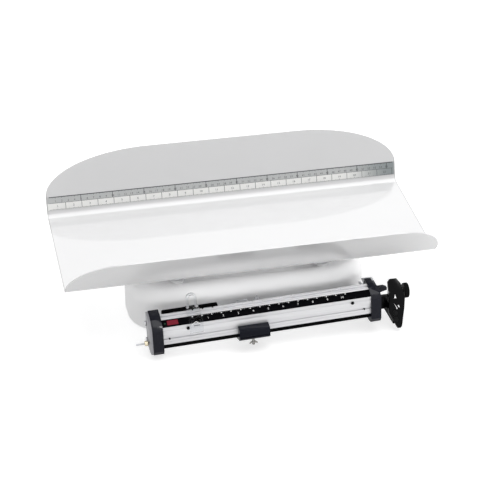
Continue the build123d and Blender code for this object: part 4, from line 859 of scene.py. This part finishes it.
def bars(low_corners, high_corners):
    """Points and triangles of thin printed bars, one for each pair of flat corners."""
    a, b = np.array(low_corners, float), np.array(high_corners, float)
    corner = np.array([
        [0, 0, -1], [1, 0, -1], [1, 1, -1], [0, 1, -1], [0, 0, 1], [1, 0, 1], [1, 1, 1], [0, 1, 1]])
    points = np.empty((len(a), 8, 3))
    points[..., :2] = a[:, None] + (b - a)[:, None] * corner[None, :, :2]
    points[..., 2] = corner[None, :, 2] * sizes().print_height / 2
    faces = np.array([
        [0, 2, 1], [0, 3, 2], [4, 5, 6], [4, 6, 7], [0, 1, 5], [0, 5, 4],
        [1, 2, 6], [1, 6, 5], [2, 3, 7], [2, 7, 6], [3, 0, 4], [3, 4, 7]])
    triangles = faces[None] + 8 * np.arange(len(a))[:, None, None]
    return points.reshape(-1, 3), triangles.reshape(-1, 3)


def ticks(middles, half_width, foot, top):
    """Upright bars of a half width round their middles, from foot to top; all may differ from bar to bar."""
    middles, half_width, foot, top = np.broadcast_arrays(middles, half_width, foot, top)
    return bars(np.stack([middles - half_width, foot], 1), np.stack([middles + half_width, top], 1))


def gather(*parts):
    """Several pairs of points and triangles as one pair."""
    starts = np.cumsum([0] + [len(points) for points, _ in parts[:-1]])
    return (np.concatenate([points for points, _ in parts]),
            np.concatenate([faces + start for (_, faces), start in zip(parts, starts)]))


def printed(name, drawing, origin, right, up, body, slot, ink):
    """Lays a flat drawing on a face: drawing x along right, y along up, z square off the face."""
    points, triangles = drawing
    origin, right, up = (np.array(part, float) for part in (origin, right, up))
    placed = origin + points[:, :1] * right + points[:, 1:2] * up + points[:, 2:] * np.cross(right, up)
    return wear(mesh_object(name, placed, triangles, smooth=False), body, slot, ink)


def centimetre_row(length):
    """Upper row of the ruler, drawn down from its top line: a line for each millimetre, longer at fives
    and tens, a strong line through the row every five centimetres and a figure at each centimetre."""
    millimetres = np.arange(1, int(round(length / MM)))
    tens, fives = millimetres % 10 == 0, millimetres % 5 == 0
    reach = np.where(tens, 3.0, np.where(fives, 2.3, 1.5)) * MM
    half_width = np.where(tens, 0.21, 0.15) * MM
    strong_step, strong_half, figure_foot = 50, 0.45 * MM, 1.6 * MM
    centimetres = np.arange(1, int(length / (10 * MM)))
    return (
        ticks(millimetres * MM, half_width, -reach, 0.0),
        ticks(millimetres[strong_step - 1::strong_step] * MM, strong_half, -RULER_ROW, 0.0),
        figures(centimetres, centimetres * 10 * MM, -RULER_ROW + figure_foot, sizes().ruler_figure))


def inch_row(length):
    """Lower row of the ruler: a box with its figure for each inch, and short lines at the quarters."""
    inch, foot = 25.4 * MM, -2 * RULER_ROW
    box_half, quarter_half, figure_foot = 0.3 * MM, 0.12 * MM, 3.4 * MM
    half_inch_line, quarter_line = 2.2 * MM, 1.3 * MM
    inches = np.arange(1, int(length / inch) + 1)
    quarters = np.arange(1, int(4 * length / inch))
    line = np.where(quarters % 2 == 0, half_inch_line, quarter_line)
    return (
        ticks(inches * inch, box_half, foot, -RULER_ROW),
        ticks(quarters * inch / 4, quarter_half, foot, foot + line),
        figures(inches, (inches - 0.5) * inch, foot + figure_foot, sizes().ruler_figure))


class SCALE_OT_ruler_print(PieceOperator, bpy.types.Operator):
    """Lines and figures of the ruler: centimetres above, inches in boxes below"""

    bl_idname = "babyscale.ruler_print"
    bl_label = "Ruler print"

    def execute(self, context):
        s = sizes()
        dress("ruler_strip")
        left, length, foil = -280.0 * MM, 560.0 * MM, 0.6 * MM
        up = np.array([0.0, math.sin(s.back_lean), math.cos(s.back_lean)])
        off = np.cross((1.0, 0.0, 0.0), up)
        origin = np.array([left, s.ruler_line_y, s.ruler_line_z]) + off * (foil + s.print_height / 2)
        foot, top_line, row_line, foot_line = -2 * RULER_ROW, 1.1 * MM, 0.25 * MM, 0.15 * MM
        borders = bars([(0, -top_line), (0, -RULER_ROW - row_line), (0, foot - foot_line)],
                       [(length, 0), (length, -RULER_ROW + row_line), (length, foot + foot_line)])
        drawing = gather(*centimetre_row(length), *inch_row(length), borders)
        printed("ruler_print", drawing, origin, (1, 0, 0), up, "platform", "ruler_foil", "ruler_ink")
        return {"FINISHED"}


class SCALE_OT_scale_print(PieceOperator, bpy.types.Operator):
    """Marks and figures on the black scale plate, with its red field and green spot"""

    bl_idname = "babyscale.scale_print"
    bl_label = "Scale print"

    def execute(self, context):
        s = sizes()
        dress("scale_plate", 0.2 * MM)
        top, foot = np.array([-129.0, 14.4]) * MM, np.array([-140.0, 9.1]) * MM
        reach = float(np.linalg.norm(top - foot))
        slope = (top - foot) / reach
        up = slope[0] * DEPTH + slope[1] * RISE
        origin = on_beam(0.0, foot[0], foot[1]) + np.cross(ALONG, up) * s.print_height / 2

        first, pitch, count, parts = -106.6 * MM, 14.5 * MM, 17, 5
        dot_half, dot_height, dot_margin = 0.9 * MM, 1.6 * MM, 1.0 * MM
        dot_top = reach - dot_margin
        dots = ticks(first + np.arange(count) * pitch, dot_half, dot_top - dot_height, dot_top)
        fine_half, fine_height, fine_margin = 0.12 * MM, 1.1 * MM, 0.4 * MM
        fine_top = reach - fine_margin
        fine = first + np.arange(parts * (count - 1) + 1) * pitch / parts
        fine_ticks = ticks(fine, fine_half, fine_top - fine_height, fine_top)
        first_figure, figure_pitch, figure_foot, figure_count = -83.9 * MM, 22.6 * MM, 3.6 * MM, 10
        order = np.arange(figure_count)
        numbers = figures(order + 1, first_figure + order * figure_pitch, figure_foot, s.scale_figure)
        drawing = gather(dots, fine_ticks, numbers)
        printed("scale_figures", drawing, origin, ALONG, up, "beam", "scale_black", "scale_ink")

        field_left, field_right, field_foot, field_margin = -145.0 * MM, -128.7 * MM, 2.2 * MM, 2.0 * MM
        field = bars([(field_left, field_foot)], [(field_right, reach - field_margin)])
        printed("red_field", field, origin, ALONG, up, "beam", "scale_black", "scale_red")
        spot_left, spot_foot, spot_side = -149.4 * MM, 4.4 * MM, 2.4 * MM
        spot = bars([(spot_left, spot_foot)], [(spot_left + spot_side, spot_foot + spot_side)])
        printed("green_spot", spot, origin, ALONG, up, "beam", "scale_black", "scale_green")
        return {"FINISHED"}


# Construction nodes that keep their shape


class SCALE_OT_housing(PieceOperator, bpy.types.Operator):
    """Base housing, its plate, feet and the works inside"""

    bl_idname = "babyscale.housing"
    bl_label = "Housing and works"

    def execute(self, context):
        dress("base_cover", 0.4 * MM)
        works = (
            "base_plate", "feet", "long_lever_stands", "short_lever_stands", "beam_stand", "tray_rails",
            "tray_pads", "load_frame", "tray_posts", "load_bearings", "long_lever", "short_lever",
            "load_link", "long_lever_knives", "short_lever_knives",
        )
        dress_all(works, 0.3 * MM)
        fasteners = (
            "base_screws", "foot_screws", "stand_screws", "stop_screws", "arm_screws", "arm_nuts",
            "rail_screws", "tray_nuts", "tray_studs", "post_collars",
        )
        dress_all(fasteners, 0.2 * MM)
        return {"FINISHED"}


class SCALE_OT_beam(PieceOperator, bpy.types.Operator):
    """Beam, its caps and small fixings"""

    bl_idname = "babyscale.beam"
    bl_label = "Beam"

    def execute(self, context):
        bars_and_plates = (
            "beam_rail", "bottom_strip", "beam_yoke", "beam_knives", "left_side_plate", "end_clip", "pointer",
        )
        dress_all(bars_and_plates, 0.25 * MM)
        dress_all(("left_cap", "right_cap"), 0.7 * MM, 3)
        dress_all(("cap_screws", "clip_screw", "front_screws", "poise_pins"), 0.15 * MM)
        return {"FINISHED"}


class SCALE_OT_index(PieceOperator, bpy.types.Operator):
    """Index arm, bracket and the beam lock"""

    bl_idname = "babyscale.index"
    bl_label = "Index and lock"

    def execute(self, context):
        dress_all(("index_arm", "index_bracket"), 0.5 * MM, 3)
        dress_all(("bracket_screws", "lock_collar", "lock_shaft"), 0.25 * MM)
        return {"FINISHED"}


# Turned pieces

# Radius that stands for the closed middle of an end face
POLE = 0.01 * MM


def between(first, last, change):
    """A change of radius that holds between two stations only."""
    def wave(station, angle):
        inside = (station > first) & (station < last)
        return np.where(inside, change(station, angle), 0.0)
    return wave


def straight_knurl(count, depth, first, last):
    """Rounded ribs round a turned form, depth * (|cos(count * angle / 2)| - 1), between two stations."""
    def ribs(station, angle):
        return depth * (np.abs(np.cos(count * angle / 2)) - 1.0)
    return between(first, last, ribs)


def crossed_knurl(count, depth, lead, first, last):
    """Diamond knurl: two helices of ribs, depth * (max of their cosines - 1), between two stations."""
    def ribs(station, angle):
        turn = count * station / lead
        climbing, falling = np.cos(count * angle / 2 + turn), np.cos(count * angle / 2 - turn)
        return depth * (np.maximum(np.abs(climbing), np.abs(falling)) - 1.0)
    return between(first, last, ribs)


def screw_thread(pitch, depth, first, last):
    """One ridge that climbs a pitch in each turn: depth * (|2 * phase - 1| - 1) with phase from the
    station over the pitch less the angle's share of a turn."""
    def ridge(station, angle):
        phase = (station / pitch - angle / (2.0 * math.pi)) % 1.0
        return depth * (np.abs(2.0 * phase - 1.0) - 1.0)
    return between(first, last, ridge)


def rounded_end(station, radius, rim, outwards, count=6):
    """Profile rows of an end face: from its middle out to a rounded rim, or back again."""
    turn = np.linspace(0.0, math.pi / 2, count)
    along = station + outwards * rim * (1.0 - np.sin(turn))
    across = radius - rim + rim * np.cos(turn)
    rows = np.column_stack([np.append(along, station), np.append(across, POLE)])
    return rows[::-1] if outwards > 0 else rows


def knurled_knob():
    """Lock knob: a drum with rounded rims, straight ribs and a dished outer face."""
    low_corner, high_corner = low("lock_knob"), high("lock_knob")
    radius = float(high_corner[1] - low_corner[1]) / 2
    length = float(high_corner[0] - low_corner[0])
    start = (low_corner + high_corner) / 2
    start[0] = low_corner[0]
    rim, gap, rib_depth, rib_margin, ribs, rows = 1.0 * MM, 0.05 * MM, 0.55 * MM, 0.9 * MM, 48, 6
    dish_depths = np.array([0.0, 0.75, 1.0, 1.05, 1.1]) * MM
    dish_radii = np.array([0.86, 0.74, 0.62, 0.3, 0.001]) * radius
    profile = np.concatenate([
        rounded_end(0.0, radius, rim, 1),
        np.linspace((rim + gap, radius), (length - rim - gap, radius), rows),
        rounded_end(length, radius, rim, -1)[:-1],
        np.column_stack([length - dish_depths, dish_radii])])
    points = turned(profile, start, (1, 0, 0), (0, 1, 0), 6 * ribs,
                    straight_knurl(ribs, rib_depth, rib_margin, length - rib_margin))
    knob = surface_object("lock_knob_knurled", points, wrap_columns=True)
    wear(knob, "lock", "knob_black")
    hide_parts("lock_knob")


def knurled_nut():
    """Zero nut: a bored drum with a crossed knurl and a narrower neck at its outer end."""
    length, radius, bore = 6.0 * MM, 4.0 * MM, 1.55 * MM
    chamfer, neck, bevel, ribs, rows = 0.4 * MM, 1.4 * MM, 0.1 * MM, 30, 13
    rib_depth, rib_lead, knurl_begins, knurl_ends = 0.3 * MM, 18.0 * MM, 0.8 * MM, length - 1.35 * MM
    begin = (low("zero_nut") + high("zero_nut")) / 2 - ALONG * length / 2
    profile = np.concatenate([
        [(0.0, bore), (0.0, radius - chamfer), (chamfer - bevel, radius - bevel)],
        np.linspace((knurl_begins + bevel, radius), (length - neck, radius), rows),
        [(length - neck + chamfer, radius - neck + bevel), (length, radius - neck),
         (length, bore), (0.0, bore)]])
    points = turned(profile, begin, ALONG, DEPTH, 4 * ribs,
                    crossed_knurl(ribs, rib_depth, rib_lead, knurl_begins, knurl_ends))
    nut = surface_object("zero_nut_knurled", points, wrap_columns=True)
    wear(nut, "zero_nut", "brass")
    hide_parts("zero_nut")


def threaded_stud():
    """Zero nut's stud: a rod along the beam with a thread and two chamfered ends."""
    low_corner, high_corner = low("zero_stud"), high("zero_stud")
    radius = float(high_corner[1] - low_corner[1]) / 2
    length = float(high_corner[0] - low_corner[0] - 2 * radius * ALONG[2]) / float(ALONG[0])
    begin = (low_corner + high_corner) / 2 - ALONG * length / 2
    pitch, depth, row_step, sides = 0.8 * MM, 0.35 * MM, 0.1 * MM, 24
    chamfer, shank_begins, inner_chamfer, inner_gap = 0.4 * MM, 0.5 * MM, 0.2 * MM, 0.02 * MM
    thread_begins, thread_ends = 0.3 * MM, length - 0.1 * MM
    profile = np.concatenate([
        [(0.0, POLE), (0.0, radius - chamfer)],
        np.linspace((shank_begins, radius), (length - inner_gap, radius), int(length / row_step)),
        [(length, radius - inner_chamfer), (length, POLE)]])
    points = turned(profile, begin, ALONG, DEPTH, sides,
                    screw_thread(pitch, depth, thread_begins, thread_ends))
    stud = surface_object("zero_stud_threaded", points, wrap_columns=True)
    wear(stud, "beam", "zinc_steel")
    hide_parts("zero_stud")


class SCALE_OT_turned(PieceOperator, bpy.types.Operator):
    """Turned parts: the knurled lock knob, the zero nut and its threaded stud"""

    bl_idname = "babyscale.turned"
    bl_label = "Turned parts"

    def execute(self, context):
        knurled_knob()
        knurled_nut()
        threaded_stud()
        return {"FINISHED"}


def wing_screw_stem(start, hub, reach):
    """Turned stem of the wing screw, down from its start: a thread, then a hub with a rounded end."""
    pitch, depth, thread_margin = 0.7 * MM, 0.3 * MM, 0.3 * MM
    sides, thread_rows, hub_rows = 48, 60, 6
    tip, thread, shoulder, hub_rim = 1.6 * MM, 1.95 * MM, 2.4 * MM, 2.75 * MM
    hub_top, hub_foot, end_rim, end = 2.9 * MM, 2.5 * MM, 2.3 * MM, 1.8 * MM
    tip_length, thread_gap, rim_length, hub_margin, end_length = (
        0.4 * MM, 0.2 * MM, 0.4 * MM, 0.8 * MM, 0.3 * MM)
    profile = np.concatenate([
        [(0.0, POLE), (0.0, tip)],
        np.linspace((tip_length, thread), (hub - thread_gap, thread), thread_rows),
        [(hub, thread), (hub, shoulder), (hub + rim_length, hub_rim)],
        np.linspace((hub + hub_margin, hub_top), (reach - hub_margin, hub_foot), hub_rows),
        [(reach - end_length, end_rim), (reach, end), (reach, POLE)]])
    points = turned(profile, start, -RISE, DEPTH, sides,
                    screw_thread(pitch, depth, thread_margin, hub - thread_margin))
    return surface_object("wing_screw_stem", points, wrap_columns=True)


def wing(name, side, start, hub):
    """One wing: ellipses carried outwards from the hub, whose drop grows with the square of the share of
    the way gone, and whose size follows sqrt(1 - (2 * share - 1) ** 6), so that both ends are round."""
    rows, columns = 26, 28
    root, span = 1.4 * MM, 4.9 * MM
    root_drop, bend = 1.9 * MM, 2.2 * MM
    root_height, widening = 1.5 * MM, 0.45 * MM
    root_depth, thinning = 1.0 * MM, 0.25 * MM
    share = np.linspace(0.0, 1.0, rows)[:, None]
    angle = np.linspace(0.0, 2.0 * math.pi, columns, endpoint=False)[None, :]
    swell = np.sqrt(np.clip(1.0 - (2.0 * share - 1.0) ** 6, 0.0, None))
    out = side * (root + span * share)
    drop = hub + root_drop + bend * share ** 2
    tall = (root_height + widening * share) * swell
    thick = (root_depth - thinning * share) * swell
    points = on_beam(out, thick * np.cos(angle), -drop - tall * np.sin(angle), start)
    return surface_object(name, points, wrap_columns=True)


class SCALE_OT_wing_screw(PieceOperator, bpy.types.Operator):
    """Wing screw of the small poise: a turned stem and hub with two bent wings"""

    bl_idname = "babyscale.wing_screw"
    bl_label = "Wing screw"

    def execute(self, context):
        pin = np.array(JOINTS["tare_screw_turn"]["pos_m"])
        inset_top, inset_foot, hub_height = 0.2 * MM, 0.4 * MM, 6.1 * MM
        top = float((high("tare_screw") - FULCRUM) @ RISE)
        start = pin + RISE * (top - float((pin - FULCRUM) @ RISE) - inset_top)
        reach = top - float((low("tare_screw") - FULCRUM) @ RISE) - inset_foot
        hub = reach - hub_height
        stem = wing_screw_stem(start, hub, reach)
        wear(stem, "tare_screw", "nickel")
        for side, name in ((-1.0, "wing_left"), (1.0, "wing_right")):
            wear(wing(name, side, start, hub), "tare_screw", "nickel")
        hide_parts("tare_screw")
        return {"FINISHED"}


# Poises


def cursor_mark():
    """Flat drawing of the cursor's pointed line: two strokes that rise to a tip, from its foot."""
    tip, foot, reach, line = 20.3 * MM, 15.8 * MM, 6.4 * MM, 1.4 * MM
    corners = np.array([
        [-reach, foot], [0.0, tip], [reach, foot],
        [reach, foot - line], [0.0, tip - line], [-reach, foot - line]])
    count, half = len(corners), sizes().print_height / 2
    points = np.concatenate([np.column_stack([corners, np.full(count, layer)]) for layer in (-half, half)])
    outline = np.array([[0, 1, 4], [0, 4, 5], [1, 2, 3], [1, 3, 4]])
    ring = np.arange(count)
    after = (ring + 1) % count
    sides = [np.stack([ring, after, after + count], 1), np.stack([ring, after + count, ring + count], 1)]
    return points, np.concatenate([outline + count, outline[:, ::-1], *sides])


class SCALE_OT_poises(PieceOperator, bpy.types.Operator):
    """Main poise, tare poise and their marks"""

    bl_idname = "babyscale.poises"
    bl_label = "Poises"

    def execute(self, context):
        dress("poise_bar", 0.5 * MM, 3, "strip_black")
        dress("poise_cursor", 0.35 * MM)
        dress("tare_block", 0.35 * MM, 3)
        dress("cursor_screws", 0.2 * MM)
        low_corner, high_corner = low("poise_cursor"), high("poise_cursor")
        middle = float(low_corner[0] + high_corner[0]) / 2
        face = float(low_corner[1]) - sizes().print_height / 2
        origin = np.array([middle, face, float(low_corner[2])])
        printed("cursor_mark", cursor_mark(), origin, ALONG, RISE, "main_poise", "clear", "scale_ink")
        hair_left, hair_right, hair_foot, hair_top = -3.4 * MM, 5.8 * MM, 12.4 * MM, 13.6 * MM
        hair = bars([(hair_left, hair_foot)], [(hair_right, hair_top)])
        printed("cursor_line", hair, origin, ALONG, RISE, "main_poise", "clear", "ruler_ink")
        return {"FINISHED"}


# Studio

SOFTBOXES = (
    # name of the power setting, width and length, place, the only pieces that it lights
    ("overhead", (2.8, 2.0), (0.25, 0.15, 2.1), ()),
    ("strip", (1.6, 0.16), (0.5, -2.1, 1.95),
     ("left_cap", "right_cap", "tare_block", "index_arm", "index_bracket", "pointer")),
    ("crown", (1.6, 0.3), (0.3, -0.9, 2.3), ("beam_rail",)),
    ("low_fill", (2.0, 0.8), (0.9, -1.7, 0.40), ("base_cover",)),
)

# Point that the softboxes face
AIM = Vector((0.0, 0.0, 0.1))


def floor_material():
    """Matt white paper with a glow of its own, so that it stays white where nothing shades it. The
    camera sees the whole glow, and the scale is lit by a share of it."""
    made, tree, shader, place = new_finish(
        "paper", Roughness=0.9, Specular_IOR_Level=0.1, Emission_Strength=0.66)
    paper, clouds, clouds_in_a_metre = (0.60, 0.60, 0.60), 0.004, 1.5
    add_mottle(tree, shader, place, paper, clouds, clouds_in_a_metre)
    path = add_node(tree, "ShaderNodeLightPath")
    glow = add_node(tree, "ShaderNodeMapRange", {"To Min": studio().floor_bounce, "To Max": 1.0})
    tree.links.new(path.outputs["Is Camera Ray"], glow.inputs["Value"])
    tree.links.new(glow.outputs["Result"], shader.inputs["Emission Color"])
    return made


def lay_floor():
    """A wide sheet of pale paper under the scale."""
    reach = 6.0
    corners = np.array([[-1.0, -1.0, 0.0], [1.0, -1.0, 0.0], [1.0, 1.0, 0.0], [-1.0, 1.0, 0.0]]) * reach
    floor = mesh_object("floor", corners, np.array([[0, 1, 2, 3]]), smooth=False, closed=False)
    floor.data.materials.append(floor_material())


def pale_surround():
    """The world. As a soft light it is even, and in mirroring surfaces and to the camera it is a bright
    sweep behind the scale and a dimmer room before it."""
    s = studio()
    room_ends, sweep_begins = 0.1, 0.5
    world = bpy.data.worlds.new("surround")
    world.use_nodes = True
    tree = world.node_tree
    link = tree.links.new
    pale = tree.nodes["Background"]
    pale.inputs["Color"].default_value = (1.0, 1.0, 1.0, 1.0)
    way = add_node(tree, "ShaderNodeTexCoord")
    parts = add_node(tree, "ShaderNodeSeparateXYZ")
    mirrored = add_node(tree, "ShaderNodeMapRange", {
        "From Min": room_ends, "From Max": sweep_begins, "To Min": s.room, "To Max": s.sweep})
    path = add_node(tree, "ShaderNodeLightPath")
    seen = add_node(tree, "ShaderNodeMapRange", {"To Max": s.surround})
    link(way.outputs["Generated"], parts.inputs["Vector"])
    link(parts.outputs["Y"], mirrored.inputs["Value"])
    link(mirrored.outputs["Result"], seen.inputs["To Min"])
    link(path.outputs["Is Diffuse Ray"], seen.inputs["Value"])
    link(seen.outputs["Result"], pale.inputs["Strength"])
    return world


def softbox(name, size, place, lit):
    """A rectangular soft light that faces the scale, kept off all but the lit pieces if there are any."""
    lamp = bpy.data.lights.new(name, "AREA")
    lamp.shape = "RECTANGLE"
    lamp.size, lamp.size_y = size
    lamp.energy = getattr(studio(), name)
    holder = bpy.data.objects.new(name, lamp)
    bpy.context.scene.collection.objects.link(holder)
    holder.location = place
    holder.rotation_mode = "QUATERNION"
    holder.rotation_quaternion = (AIM - holder.location).to_track_quat("-Z", "Y")
    if lit:
        holder.light_linking.receiver_collection = bpy.data.collections.new(name + "_lit")
        for node in lit:
            holder.light_linking.receiver_collection.objects.link(frame["nodes"][node])


def photo_camera():
    """The camera: it looks at the target from the distance, turned by the azimuth and the elevation."""
    s = studio()
    camera = bpy.data.cameras.new("camera")
    camera.lens = s.lens
    camera.sensor_width = 36.0
    camera.clip_start, camera.clip_end = 0.1, 40.0
    viewer = bpy.data.objects.new("camera", camera)
    bpy.context.scene.collection.objects.link(viewer)
    ahead = np.array([
        math.sin(s.azimuth) * math.cos(s.elevation),
        math.cos(s.azimuth) * math.cos(s.elevation),
        -math.sin(s.elevation)])
    right = np.array([math.cos(s.azimuth), -math.sin(s.azimuth), 0.0])
    turn = np.eye(4)
    turn[:3, :3] = np.column_stack([right, np.cross(right, ahead), -ahead])
    turn[:3, 3] = np.array(s.target) - ahead * s.distance
    viewer.matrix_world = Matrix(turn.tolist())
    return viewer


class SCALE_OT_studio(PieceOperator, bpy.types.Operator):
    """Pale floor, soft light and the camera"""

    bl_idname = "babyscale.studio"
    bl_label = "Studio"

    def execute(self, context):
        lay_floor()
        context.scene.world = pale_surround()
        for name, size, place, lit in SOFTBOXES:
            softbox(name, size, place, lit)
        context.scene.camera = photo_camera()
        context.scene.view_settings.view_transform = "Standard"
        return {"FINISHED"}


class SCALE_PT_panel(bpy.types.Panel):
    """Sidebar list of the scale's pieces and settings"""

    bl_idname = "SCALE_PT_panel"
    bl_label = "Baby scale"
    bl_space_type = "VIEW_3D"
    bl_region_type = "UI"
    bl_category = "Scale"

    def draw(self, context):
        layout = self.layout
        for operator in OPERATORS:
            layout.operator(operator.bl_idname)
        for settings in (context.scene.scale_sizes, context.scene.scale_colours, context.scene.scale_studio):
            box = layout.box()
            for label in settings.__annotations__:
                box.prop(settings, label)


SETTINGS = (
    ("scale_sizes", ScaleSizes), ("scale_colours", ScaleColours), ("scale_studio", StudioSettings),
)
OPERATORS = (
    SCALE_OT_tray, SCALE_OT_ruler_print, SCALE_OT_scale_print, SCALE_OT_housing, SCALE_OT_beam,
    SCALE_OT_turned, SCALE_OT_wing_screw, SCALE_OT_poises, SCALE_OT_index, SCALE_OT_studio,
)


def register():
    """Registers the settings, operators and panel."""
    for name, group in SETTINGS:
        bpy.utils.register_class(group)
        setattr(bpy.types.Scene, name, bpy.props.PointerProperty(type=group))
    for made in (*OPERATORS, SCALE_PT_panel):
        bpy.utils.register_class(made)


def unregister():
    """Removes what register added."""
    for made in reversed((*OPERATORS, SCALE_PT_panel)):
        bpy.utils.unregister_class(made)
    for name, group in reversed(SETTINGS):
        delattr(bpy.types.Scene, name)
        bpy.utils.unregister_class(group)


def main():
    register()
    for operator in OPERATORS:
        category, name = operator.bl_idname.split(".")
        getattr(getattr(bpy.ops, category), name)()


if __name__ == "__main__":
    main()
